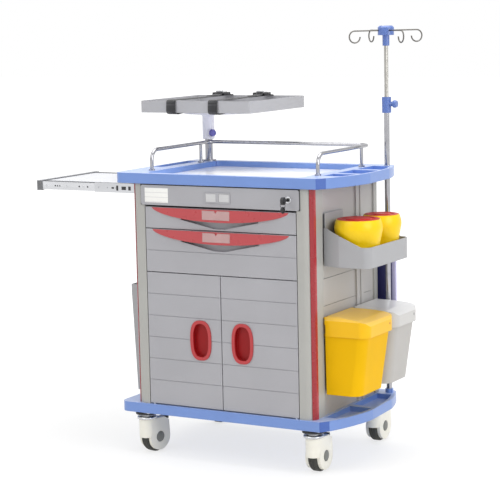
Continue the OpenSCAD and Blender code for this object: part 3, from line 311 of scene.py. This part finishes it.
def tintFacing(mat, direction, fromDot, toDot, colour):
    # blends in a second colour where the surface faces one way
    tree = mat.node_tree
    shader, place = nodeOf(tree, "BSDF_PRINCIPLED"), nodeOf(tree, "TEX_COORD")
    below = shader.inputs["Base Color"].links[0].from_socket
    dot = tree.nodes.new("ShaderNodeVectorMath")
    dot.operation = "DOT_PRODUCT"
    dot.inputs[1].default_value = Vector(direction).normalized()
    tree.links.new(place.outputs["Normal"], dot.inputs[0])
    facing = tree.nodes.new("ShaderNodeMapRange")
    facing.inputs["From Min"].default_value = fromDot
    facing.inputs["From Max"].default_value = toDot
    tree.links.new(dot.outputs["Value"], facing.inputs["Value"])
    tinted = mixColours(tree, facing.outputs["Result"], below, srgb(*colour))
    tree.links.new(tinted, shader.inputs["Base Color"])
    return mat


def paintedHighlightAbove(name, look):
    # glossy lid with a painted highlight: a paler colour where it faces up, as if washed out by the lamps
    return tintFacing(mouldedPlastic(name, look), (0, 0, 1), 0.25, 0.75, look["top"])


cupLook = {"colour": (186, 68, 72), "hollow": (152, 8, 14), "rough": 0.4, "specular": 0.3, "edge": 0.003,
           "paleEdges": 0.4, "rimFrom": -0.003, "hollowFrom": 0.002}  # last two: metres behind the door's face


def cupRed(name, look, face):
    # door cup: bright rim in front of the door, and a painted shade of darker red down in the hollow
    mat = mouldedPlastic(name, look)
    tree = mat.node_tree
    shader, place = nodeOf(tree, "BSDF_PRINCIPLED"), nodeOf(tree, "TEX_COORD").outputs["Object"]
    rim = shader.inputs["Base Color"].links[0].from_socket
    split = tree.nodes.new("ShaderNodeSeparateXYZ")
    tree.links.new(place, split.inputs["Vector"])
    depth = tree.nodes.new("ShaderNodeMapRange")
    depth.inputs["From Min"].default_value = face + look["rimFrom"]
    depth.inputs["From Max"].default_value = face + look["hollowFrom"]
    tree.links.new(split.outputs["Y"], depth.inputs["Value"])
    # painted shade: darker red where the cup lies deeper than the door's face
    rimAndPaintedShade = mixColours(tree, depth.outputs["Result"], rim, srgb(*look["hollow"]))
    tree.links.new(rimAndPaintedShade, shader.inputs["Base Color"])
    return mat


# nodes whose finish differs from that of their slot
ownFinish = {
    # the top colours of the two lids are painted highlights
    "front_bin_lid": paintedHighlightAbove("yellowLid", {"colour": (244, 190, 4), "top": (255, 208, 88), "rough": 0.38,
                                             "coat": 0.25, "specular": 0.2, "edge": 0.004, "paleEdges": 0.2,
                                             "paleEdgesTone": 1.2}),
    "rear_bin_lid": paintedHighlightAbove("greyLid", {"colour": (196, 195, 194), "top": (222, 222, 223), "rough": 0.3,
                                          "coat": 0.3, "edge": 0.004}),
    "shelf_post": metal("postChrome", {"colour": (150, 150, 156), "rough": 0.1}),
    "upper_pole": metal("poleSatin", {"colour": (172, 170, 165), "rough": 0.24, "brush": 0.03}),
    "drip_hooks": metal("hookSatin", {"colour": (104, 102, 98), "rough": 0.3}),
}
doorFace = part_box("left_door")[0][1]
for cup in ("left_cup", "right_cup"):
    ownFinish[cup] = cupRed(cup + "Red", cupLook, doorFace)

# slot, direction, where the tint begins and is full, colour
tints = (
    ("blue_shell", (0, 0, 1), 0.9, 0.99, (160, 182, 232)),  # painted highlight: top and base paler where they face up, for the white sky they reflect
    ("blue_shell", (0.794, -0.608, 0), 0.985, 0.997, (62, 98, 178)),  # painted dark reflection on the faces of their cut corner
    ("red_strip", (1, 0, 0), 0.93, 0.999, (182, 50, 56)),  # painted highlight on the strips' outer side
    ("shelf_aluminium", (-1, 0, 0), 0.9, 0.99, (122, 123, 127)),  # end fascia darker grey where it faces -x
)
for slotName, *tint in tints:
    tintFacing(finishes[slotName], *tint)
for part in frame["record"]["subparts"]:
    for slot in nodes[part["node"]].material_slots:
        slot.material = ownFinish.get(part["node"], finishes[part["material_slot"]])
print("finishes on:", len(finishes), "slots")

joints = {j["name"]: j for j in frame["record"]["behaviour"]["joints"]}
casterCorners = ("front_left", "front_right", "rear_left", "rear_right")


def meshPiece(name, build, material, body, edge=0.0):
    # makes one mesh object, rounds its edges and hangs it on a body
    mesh = bpy.data.meshes.new(name)
    bm = bmesh.new()
    build(bm)
    bmesh.ops.recalc_face_normals(bm, faces=bm.faces[:])
    bm.to_mesh(mesh)
    bm.free()
    for face in mesh.polygons:
        face.use_smooth = True
    piece = bpy.data.objects.new(name, mesh)
    bpy.context.scene.collection.objects.link(piece)
    if edge:
        rounding = piece.modifiers.new("roundedEdges", "BEVEL")
        rounding.width = edge
        rounding.segments = 3
        rounding.limit_method = "ANGLE"
    mesh.materials.append(material)
    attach(piece, body)
    return piece


def lathe(bm, profile, centre, axis, steps=64):
    # turns (radius, distance along the axis) points round the axis
    axis = Vector(axis).normalized()
    side = axis.orthogonal().normalized()
    other = axis.cross(side)
    rings = []
    for radius, along in profile:
        rings.append([bm.verts.new(Vector(centre) + axis * along
                                   + (side * math.cos(t) + other * math.sin(t)) * radius)
                      for t in (2 * math.pi * k / steps for k in range(steps))])
    for a, b in zip(rings, rings[1:]):
        for k in range(steps):
            bm.faces.new((a[k], a[(k + 1) % steps], b[(k + 1) % steps], b[k]))
    bm.faces.new(rings[0])
    bm.faces.new(rings[-1])


def slab(bm, low, high):
    # box between two corners; the piece's bevel rounds it
    box = bmesh.ops.create_cube(bm, size=1.0)["verts"]
    low, high = Vector(low), Vector(high)
    for v in box:
        v.co = Vector((low[i] + (v.co[i] + 0.5) * (high[i] - low[i]) for i in range(3)))


def mirrored(profile):
    # adds the other half of a lathe profile that is the same on both sides
    return profile + [(radius, -along) for radius, along in reversed(profile)]


def band(bm, path, width, section):
    # sweeps a flat strap's section along a path that bends in one plane across x
    across = Vector((1, 0, 0))
    points = [Vector(p) for p in path]
    rows = []
    for i, point in enumerate(points):
        ahead = points[min(i + 1, len(points) - 1)] - points[max(i - 1, 0)]
        up = across.cross(ahead).normalized()
        rows.append([bm.verts.new(point + across * (u * width / 2) + up * v) for u, v in section])
    n = len(section)
    for a, b in zip(rows, rows[1:]):
        for k in range(n):
            bm.faces.new((a[k], a[(k + 1) % n], b[(k + 1) % n], b[k]))
    bm.faces.new(rows[0])
    bm.faces.new(rows[-1])


def smoothPath(points, corner, steps=6):
    # rounds the corners of a path with short arcs
    points = [Vector(p) for p in points]
    out = [points[0]]
    for a, b, c in zip(points, points[1:], points[2:]):
        reach = min(corner, (a - b).length * 0.45, (c - b).length * 0.45)
        start, end = b + (a - b).normalized() * reach, b + (c - b).normalized() * reach
        for k in range(steps + 1):
            t = k / steps
            out.append(start * (1 - t) ** 2 + b * 2 * t * (1 - t) + end * t ** 2)
    out.append(points[-1])
    return out


wheelLook = {"halfWidth": 0.016, "shoulder": 0.006, "round": 0.0012, "wall": 0.007, "groove": 0.0012,
             "groovePlace": 0.004, "hubReach": 0.0285, "hubRadius": 0.041, "hubGap": 0.0068,
             "capRadius": 0.0186, "capRound": 0.002, "bore": 0.004, "hubColour": (118, 120, 116)}


def makeWheels():
    look = wheelLook
    grey = mouldedPlastic("hubGrey", {"colour": look["hubColour"], "rough": 0.4, "edge": 0.001})
    half, shoulder = look["halfWidth"], look["shoulder"]
    groove, ringAt = look["groove"], -look["groovePlace"]
    reach, cap, curve = look["hubReach"], look["capRadius"], look["capRound"]
    for corner in casterCorners:
        spin = joints[corner + "_wheel_spin"]
        centre, axis = Vector(spin["pos_m"]), Vector(spin["axis"])
        low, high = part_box(corner + "_wheel")
        radius = (high[2] - low[2]) / 2
        # half the tyre, from its wall to one of the two shallow rings in the tread
        tyre = mirrored([(radius - look["wall"], -half), (radius - shoulder * 0.6, -half + 0.001),
                         (radius - look["round"], -half + shoulder * 0.6), (radius, -half + shoulder),
                         (radius, ringAt - groove), (radius - groove, ringAt - groove / 2),
                         (radius - groove, ringAt + groove / 2), (radius, ringAt + groove)])
        hub = mirrored([(look["bore"], -reach), (cap - curve, -reach), (cap, -reach + curve),
                        (cap, -half - 0.0008), (look["hubRadius"], -half + 0.0006),
                        (radius - look["hubGap"], -half + 0.0012)])
        tread = meshPiece(corner + "Tyre", lambda bm: lathe(bm, tyre, centre, axis, 96),
                          finishes["tyre_rubber"], corner + "_wheel")
        meshPiece(corner + "Hub", lambda bm: lathe(bm, hub, centre, axis),
                  grey, corner + "_wheel")
        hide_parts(corner + "_wheel")


strapLook = {"width": 0.038, "thick": 0.0022, "fromEnd": 0.023, "lift": 0.0016, "puff": 0.004, "under": 0.054,
             "rimReach": 0.012, "rimRise": 0.002, "flatFrom": 0.06, "flatTo": 0.09, "corner": 0.012,
             "tailLength": 0.05, "tailCorner": 0.006,
             "buckleFromBack": 0.082, "buckleLength": 0.052, "buckleWidth": 0.047, "buckleHeight": 0.011,
             "barHalf": 0.0025, "black": (38, 38, 41), "silver": (196, 197, 199)}


def strapPath(x, low, high, look):
    # once round the tray at x, slack at the rims: from under the front to under the back
    lift, puff, rise = look["lift"], look["puff"], look["rimRise"]
    front, back = low[1] - lift, high[1] + lift
    nearFront, nearBack = low[1] + look["rimReach"], high[1] - look["rimReach"]
    middle, underside = (low[2] + high[2]) / 2, low[2] - lift - look["thick"] / 2
    route = [(low[1] + look["under"], underside), (nearFront, low[2] - lift - puff),
             (front - puff, low[2] - 0.001), (front - puff * 1.2, middle),
             (front - puff * 0.5, high[2] + rise), (nearFront, high[2] + lift + rise),
             (low[1] + look["flatFrom"], high[2] + lift), (high[1] - look["flatTo"], high[2] + lift),
             (nearBack, high[2] + lift + rise), (back + puff * 0.5, high[2] + rise),
             (back + puff, middle), (back + puff, low[2] - 0.001),
             (nearBack, low[2] - lift - puff), (high[1] - look["under"], underside)]
    return smoothPath([(x, y, z) for y, z in route], look["corner"])


def makeStraps():
    look = strapLook
    web = finishes["strap_web"]
    black = mouldedPlastic("buckleBlack", {"colour": look["black"], "rough": 0.35, "edge": 0.001})
    silver = metal("buckleSilver", {"colour": look["silver"], "rough": 0.25, "edge": 0.0006})
    low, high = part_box("monitor_tray")
    strapLow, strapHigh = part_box("tray_straps")
    t, w = look["thick"], look["width"]
    section = [(-1, 0), (-0.94, t / 2), (0.94, t / 2), (1, 0), (0.94, -t / 2), (-0.94, -t / 2)]
    half, length, tall = look["buckleWidth"] / 2, look["buckleLength"], look["buckleHeight"]
    y0, top = high[1] - look["buckleFromBack"], high[2] + look["lift"] + t / 2
    for name, x in (("left", strapLow[0] + look["fromEnd"]), ("right", strapHigh[0] - look["fromEnd"])):
        path = strapPath(x, low, high, look)
        strap = meshPiece(name + "Strap", lambda bm: band(bm, path, w, section),
                          web, "monitor_shelf")
        if name == "left":
            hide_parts("tray_straps")
        # the doubled free end lies on top, in front of the buckle
        tail = smoothPath([(x, y0 - look["tailLength"], top + t * 0.6), (x, y0 - 0.02, top + t * 0.7),
                           (x, y0 + 0.002, top + t * 1.6), (x, y0 + 0.02, top + 0.009)], look["tailCorner"])
        meshPiece(name + "StrapEnd", lambda bm: band(bm, tail, w * 0.96, section),
                  web, "monitor_shelf")

        def frameOf(bm):
            for side in (-1, 1):
                edge, bar = x + side * (half - look["barHalf"]), look["barHalf"]
                slab(bm, (edge - bar, y0, top), (edge + bar, y0 + length, top + tall))
            slab(bm, (x - half, y0, top), (x + half, y0 + 0.006, top + tall * 0.7))
            slab(bm, (x - half, y0 + length - 0.008, top), (x + half, y0 + length, top + tall * 0.8))
            lathe(bm, [(0.0035, -half), (0.0035, half)],
                  (x, y0 + length * 0.55, top + tall - 0.003), (1, 0, 0), 20)
        meshPiece(name + "Buckle", frameOf, black, "monitor_shelf", edge=0.001)

        def leverOf(bm):
            slab(bm, (x - half * 0.62, y0 + length * 0.3, top + tall - 0.001),
                 (x + half * 0.62, y0 + length * 0.86, top + tall + 0.002))
            slab(bm, (x - half * 0.5, y0 + length * 0.12, top + tall + 0.0015),
                 (x + half * 0.5, y0 + length * 0.42, top + tall + 0.0065))
        meshPiece(name + "BuckleLever", leverOf, silver, "monitor_shelf", edge=0.0008)


cardLook = {"left": -0.288, "width": 0.093, "low": 0.009, "height": 0.05, "thick": 0.0008, "proud": 0.0025,
            "colour": (246, 246, 244), "ink": (206, 206, 210), "lines": 20.0}
holderLook = {"lefts": (-0.0465, 0.0045), "width": 0.039, "low": 0.0185, "high": 0.0455, "back": 0.0014,
              "front": 0.0006, "colour": (206, 206, 209), "ink": (188, 188, 193), "lines": 60.0}


def ruledCard(name, look):
    # white card with a few faint ruled lines to write on
    mat, tree, shader, place = newMaterial(name)
    colour, ink = srgb(*look["colour"]), srgb(*look["ink"])
    lines = tree.nodes.new("ShaderNodeTexWave")
    lines.bands_direction = "Z"
    lines.inputs["Scale"].default_value = look["lines"]
    tree.links.new(place, lines.inputs["Vector"])
    paper = noise(tree, place, 220.0, 3.0)
    ruled = ramp(tree, lines.outputs["Fac"], [(0.93, colour), (0.99, ink)])
    fleck = ramp(tree, paper, [(0.3, shade(colour, 0.95)), (0.7, colour)])
    tree.links.new(mixColours(tree, 0.35, ruled, fleck), shader.inputs["Base Color"])
    tree.links.new(span(tree, paper, 0.3, 0.5), shader.inputs["Roughness"])
    tree.links.new(bump(tree, paper, 0.1, 0.0002), shader.inputs["Normal"])
    return mat


def makeCards():
    # name card on the lock strip and two slips in its holder
    low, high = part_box("lock_panel")
    middle = (low[0] + high[0]) / 2
    face = low[1] + cardLook["proud"]  # the label holder stands that far in front of the panel
    x0, z0 = middle + cardLook["left"], low[2] + cardLook["low"]
    x1, z1 = x0 + cardLook["width"], z0 + cardLook["height"]
    meshPiece("nameCard", lambda bm: slab(bm, (x0, face - cardLook["thick"], z0), (x1, face, z1)),
              ruledCard("nameCard", cardLook), "cart", edge=0.0003)

    def inserts(bm):
        look = holderLook
        for left in look["lefts"]:
            x = middle + left
            slab(bm, (x, low[1] + look["front"], low[2] + look["low"]),
                 (x + look["width"], low[1] + look["back"], low[2] + look["high"]))
    meshPiece("holderCards", inserts, ruledCard("holderCard", holderLook), "cart", edge=0.0002)


shelfTrimLook = {"capLength": 0.022, "capWidth": 0.013, "capInset": 0.0005, "grey": (112, 113, 116),
                 "edgingIn": 0.0145, "edgingWidth": 0.004, "edgingHeight": 0.0036, "edgingSunk": 0.0004,
                 "edgingSidesFrom": 0.0125, "edgingEndFrom": 0.0122,
                 "screwsAt": (0.042, 0.13, 0.2), "screwFace": 0.0031,
                 "screw": [(0.0042, -0.0006), (0.0042, 0.0001), (0.0034, 0.0004), (0.0008, 0.0004)],
                 # distance along the link, length and half height of each stop
                 "stops": ((0.072, 0.01, 0.003), (0.092, 0.008, 0.009), (0.114, 0.018, 0.006),
                           (0.142, 0.01, 0.007)),
                 "stopProud": 0.0004}  # the next rail is half a millimetre away


def makeShelfTrim():
    # grey end caps and edging, screws and black stops of the pull-out shelf
    look = shelfTrimLook
    grey = mouldedPlastic("shelfCapGrey", {"colour": look["grey"], "rough": 0.4, "edge": 0.001})
    low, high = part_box("shelf_frame")
    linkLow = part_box("shelf_links")[0]
    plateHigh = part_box("shelf_plate")[1]
    z = (low[2] + high[2]) / 2

    def caps(bm):
        inset, wide = look["capInset"], look["capWidth"]
        for y in (low[1] - 0.0004, high[1] + 0.0004 - wide):
            slab(bm, (low[0] + 0.0003, y, low[2] + inset),
                 (low[0] + look["capLength"], y + wide, high[2] - inset))
    meshPiece("shelfEndCaps", caps, grey, "side_shelf", edge=0.0012)

    def edging(bm):
        # frames the plate on three sides
        wide, inside = look["edgingWidth"], look["edgingIn"]
        bottom = plateHigh[2] - look["edgingSunk"]
        top = bottom + look["edgingHeight"]
        for y in (low[1] + inside, high[1] - inside - wide):
            slab(bm, (low[0] + look["edgingSidesFrom"], y, bottom), (plateHigh[0] - 0.001, y + wide, top))
        end = low[0] + look["edgingEndFrom"]
        slab(bm, (end, low[1] + inside, bottom), (end + wide, high[1] - inside, top))
    meshPiece("plateEdging", edging, grey, "side_shelf", edge=0.0008)

    def screws(bm):
        for x in look["screwsAt"]:
            lathe(bm, look["screw"], (low[0] + x, low[1] + look["screwFace"], z), (0, -1, 0), 24)
    meshPiece("shelfScrews", screws, finishes["slide_steel"], "side_shelf")

    def stops(bm):
        face = linkLow[1]
        for along, length, half in look["stops"]:
            x = linkLow[0] + along
            slab(bm, (x, face - look["stopProud"], z - half), (x + length, face + 0.0002, z + half))
    meshPiece("slideStops", stops, finishes["pedal_black"], "shelf_links", edge=0.0001)


trimLook = {"shadowGapProud": 0.0026, "shadowGapThick": 0.0016, "boardEdge": 0.015, "boardEdgeProud": 0.0008,
            "boardEdgeEnds": 0.03, "boardEdgeHighlightColour": (196, 194, 230), "seam": 0.0014, "seamProud": 0.0004,
            "seamColour": (136, 135, 134), "seamsAbovePanelFoot": (0.366, 0.457), "seamFront": 0.083,
            "seamBack": 0.065, "panelSunk": 0.0068}


def makeCabinetTrim():
    # painted shadow: a dark strip round the lock strip for its shadow gap; painted highlight: a pale strip on
    # each end of the board; seams of the side panel
    look = trimLook
    columnLow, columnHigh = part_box("columns")
    low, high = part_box("lock_panel")
    proud, thick = look["shadowGapProud"], look["shadowGapThick"]
    # painted shadow: a dark strip behind the lock strip's edges, where its shadow gap is
    meshPiece("lockStripShadowGap", lambda bm: slab(bm, (low[0] - proud, columnLow[1] - thick, low[2]),
                                               (high[0] + proud, columnLow[1] - 0.0002, high[2] + proud)),
              finishes["pedal_black"], "cart", edge=0.0006)

    boardLow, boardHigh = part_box("back_board")
    # painted highlight: a pale lilac strip on each board end for the grazing reflection along its edges
    edging = mouldedPlastic("boardEdgeHighlight", {"colour": look["boardEdgeHighlightColour"], "rough": 0.3, "coat": 0.3})

    def edges(bm):
        deep, wide, short = look["boardEdgeProud"], look["boardEdge"], look["boardEdgeEnds"]
        for x0, x1 in ((boardLow[0] - deep, boardLow[0] + wide), (boardHigh[0] - wide, boardHigh[0] + deep)):
            slab(bm, (x0, boardLow[1] - deep, boardLow[2] + short),
                 (x1, boardHigh[1] + deep, boardHigh[2] - short))
    meshPiece("boardEdgeHighlight", edges, edging, "back_board", edge=0.002)

    panelLow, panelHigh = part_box("body_panels")
    seamGrey = mouldedPlastic("seamGrey", {"colour": look["seamColour"], "rough": 0.5})

    def seams(bm):
        side = columnHigh[0] - look["panelSunk"]
        y0, y1 = columnLow[1] + look["seamFront"], panelHigh[1] - look["seamBack"]
        for up in look["seamsAbovePanelFoot"]:
            z0 = panelLow[2] + up
            slab(bm, (side, y0, z0), (side + look["seamProud"], y1, z0 + look["seam"]))
    meshPiece("sidePanelSeams", seams, seamGrey, "cart")


lockLook = {"proud": 0.0025, "ring": [(0.0068, 0.0), (0.0068, 0.0022), (0.0085, 0.003), (0.0112, 0.002),
                                      (0.012, 0.0), (0.0068, 0.0)]}


def makeLockRing():
    # bright escutcheon round the lock's barrel
    barrel = joints["lock_key_turn"]["pos_m"]
    centre = (barrel[0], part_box("lock_panel")[0][1] + lockLook["proud"], barrel[2])
    meshPiece("lockRing", lambda bm: lathe(bm, lockLook["ring"], centre, (0, -1, 0), 48),
              finishes["slide_steel"], "cart")


latchLook = {"fromBack": 0.042, "up": 0.026,
             "button": [(0.0052, -0.002), (0.0052, -0.0004), (0.0044, 0.0), (0.001, 0.0001)],
             # darker copies of the lid colours: painted shade
             "lids": (("front_bin_lid", "yellow_plastic", (196, 110, 20)),
                      ("rear_bin_lid", "grey_plastic", (120, 120, 122)))}


def makeLidMarks():
    # moulded-in latch button near the far corner of each bin lid, in a darker copy of the lid's colour that
    # is painted shade for the moulded slot
    for lid, slotName, colour in latchLook["lids"]:
        low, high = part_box(lid)
        centre = (high[0], high[1] - latchLook["fromBack"], low[2] + latchLook["up"])
        meshPiece(lid + "PaintedShadeLatch", lambda bm: lathe(bm, latchLook["button"], centre, (1, 0, 0), 32),
                  mouldedPlastic(lid + "PaintedShadeLatch", {"colour": colour, "rough": 0.35}), lid)


casterLook = {"ring": [(0.03, 0), (0.0335, 0.0006), (0.0345, 0.003), (0.0335, 0.008), (0.03, 0.0092)],
              "ringAboveFork": 0.0008, "ringColour": (206, 207, 209),
              "plate": [(0.02, 0), (0.038, 0.0005), (0.0385, 0.002), (0.0385, 0.006)],
              "plateBelowBase": 0.0105}


def makeCasterRings():
    # bright bearing ring under each caster's top plate; the plate is black as painted shade for the shadow
    # under the base
    ring = metal("bearingRing", {"colour": casterLook["ringColour"], "rough": 0.2})
    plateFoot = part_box("base_tray")[0][2] - casterLook["plateBelowBase"]
    for corner in casterCorners:
        x, y = joints[corner + "_swivel"]["pos_m"][:2]
        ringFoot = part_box(corner + "_fork")[1][2] + casterLook["ringAboveFork"]
        meshPiece(corner + "Ring", lambda bm: lathe(bm, casterLook["ring"], (x, y, ringFoot), (0, 0, 1)),
                  ring, "cart")
        meshPiece(corner + "PaintedShadePlate", lambda bm: lathe(bm, casterLook["plate"], (x, y, plateFoot), (0, 0, 1)),
                  finishes["pedal_black"], "cart")


makeWheels()
makeStraps()
makeCards()
makeShelfTrim()
makeCabinetTrim()
makeLockRing()
makeLidMarks()
makeCasterRings()
print("wheels, straps, cards and trim made")

studio = {"floorSize": 60.0, "floorColour": (247, 245, 240), "shadowGrey": 0.3, "skyStrength": 0.55,
          # the floor's glow beside the cart and far off, and the metres between which it rises
          "glowNear": 0.72, "glowFar": 1.0, "glowFrom": 0.7, "glowTo": 2.6,
          # place, size and power of each lamp; all aim at one point
          "aim": (0, 0, 0.6),
          "lamps": (("keyLamp", (-1.4, -3.4, 3.6), (3.0, 2.4), 42.0),
                    ("topLamp", (0.3, 0.2, 4.6), (3.4, 3.4), 130.0),
                    ("fillLamp", (4.2, -1.2, 2.2), (2.4, 2.4), 62.0))}


def seenDirectly(tree):
    # 1 for rays from the camera and for what metal and glass show
    paths = tree.nodes.new("ShaderNodeLightPath")
    both = tree.nodes.new("ShaderNodeMath")
    both.operation = "MAXIMUM"
    tree.links.new(paths.outputs["Is Camera Ray"], both.inputs[0])
    tree.links.new(paths.outputs["Is Glossy Ray"], both.inputs[1])
    every = tree.nodes.new("ShaderNodeMath")
    every.operation = "MAXIMUM"
    tree.links.new(both.outputs[0], every.inputs[0])
    tree.links.new(paths.outputs["Is Transmission Ray"], every.inputs[1])
    return every.outputs[0]


def makeFloor():
    bpy.ops.mesh.primitive_plane_add(size=studio["floorSize"], location=(0, 0, 0))
    floor = bpy.context.object
    floor.name = "studioFloor"
    mat = bpy.data.materials.new("studioFloor")
    mat.use_nodes = True
    tree = mat.node_tree
    tree.nodes.clear()
    out = tree.nodes.new("ShaderNodeOutputMaterial")
    plain = tree.nodes.new("ShaderNodeBsdfDiffuse")
    plain.inputs["Color"].default_value = srgb(*studio["floorColour"])
    faint = tree.nodes.new("ShaderNodeBsdfDiffuse")
    faint.inputs["Color"].default_value = (studio["shadowGrey"],) * 3 + (1,)
    glow = tree.nodes.new("ShaderNodeEmission")
    # the floor brightens away from the cart, so that it ends in plain white
    place = tree.nodes.new("ShaderNodeTexCoord")
    away = tree.nodes.new("ShaderNodeVectorMath")
    away.operation = "LENGTH"
    tree.links.new(place.outputs["Object"], away.inputs[0])
    rise = tree.nodes.new("ShaderNodeMapRange")
    for socket, key in (("From Min", "glowFrom"), ("From Max", "glowTo"), ("To Min", "glowNear"),
                        ("To Max", "glowFar")):
        rise.inputs[socket].default_value = studio[key]
    tree.links.new(away.outputs["Value"], rise.inputs["Value"])
    tree.links.new(rise.outputs["Result"], glow.inputs["Strength"])
    both = tree.nodes.new("ShaderNodeAddShader")
    tree.links.new(faint.outputs[0], both.inputs[0])
    tree.links.new(glow.outputs[0], both.inputs[1])
    mix = tree.nodes.new("ShaderNodeMixShader")
    tree.links.new(seenDirectly(tree), mix.inputs[0])
    tree.links.new(plain.outputs[0], mix.inputs[1])
    tree.links.new(both.outputs[0], mix.inputs[2])
    tree.links.new(mix.outputs[0], out.inputs["Surface"])
    floor.data.materials.append(mat)


def makeSky():
    world = bpy.data.worlds.new("studioSky")
    bpy.context.scene.world = world
    world.use_nodes = True
    tree = world.node_tree
    tree.nodes.clear()
    out = tree.nodes.new("ShaderNodeOutputWorld")
    # softer light on the cart than the plain white that the camera sees
    lit = tree.nodes.new("ShaderNodeBackground")
    lit.inputs["Strength"].default_value = studio["skyStrength"]
    shown = tree.nodes.new("ShaderNodeBackground")
    shown.inputs["Strength"].default_value = 1.0
    for node in (lit, shown):
        node.inputs["Color"].default_value = (1, 1, 1, 1)
    mix = tree.nodes.new("ShaderNodeMixShader")
    tree.links.new(seenDirectly(tree), mix.inputs[0])
    tree.links.new(lit.outputs[0], mix.inputs[1])
    tree.links.new(shown.outputs[0], mix.inputs[2])
    tree.links.new(mix.outputs[0], out.inputs["Surface"])


def makeLamp(name, spot, size, power):
    data = bpy.data.lights.new(name, "AREA")
    data.shape = "RECTANGLE"
    data.size, data.size_y = size
    data.energy = power
    lamp = bpy.data.objects.new(name, data)
    bpy.context.scene.collection.objects.link(lamp)
    lamp.location = spot
    lamp.rotation_euler = (Vector(studio["aim"]) - Vector(spot)).to_track_quat("-Z", "Y").to_euler()


# degrees, millimetres and metres; the aim counts from the middle of the cabinet's foot
cameraLook = {"azimuth": 29.6295, "elevation": 7.8258, "roll": -1.1945, "lens": 124.5, "sensor": 36.0,
              "distance": 5.97845, "aim": (-0.01715, -0.025, 0.51853)}


def makeCamera():
    view = cameraLook
    low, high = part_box("columns")
    aim = Vector(view["aim"]) + Vector(((low[0] + high[0]) / 2, (low[1] + high[1]) / 2, low[2]))
    az, el, roll = (math.radians(view[k]) for k in ("azimuth", "elevation", "roll"))
    back = Vector((math.sin(az) * math.cos(el), -math.cos(az) * math.cos(el), math.sin(el)))
    right = Vector((math.cos(az), math.sin(az), 0))
    up = back.cross(right)
    r = right * math.cos(roll) + up * math.sin(roll)
    u = up * math.cos(roll) - right * math.sin(roll)
    data = bpy.data.cameras.new("camera")
    data.sensor_width = view["sensor"]
    data.lens = view["lens"]
    camera = bpy.data.objects.new("camera", data)
    bpy.context.scene.collection.objects.link(camera)
    place = Matrix((r, u, back)).transposed().to_4x4()
    place.translation = aim + back * view["distance"]
    camera.matrix_world = place
    bpy.context.scene.camera = camera


makeFloor()
makeSky()
for lamp in studio["lamps"]:
    makeLamp(*lamp)
makeCamera()
bpy.context.scene.view_settings.view_transform = "Standard"
print("floor, light and camera set")
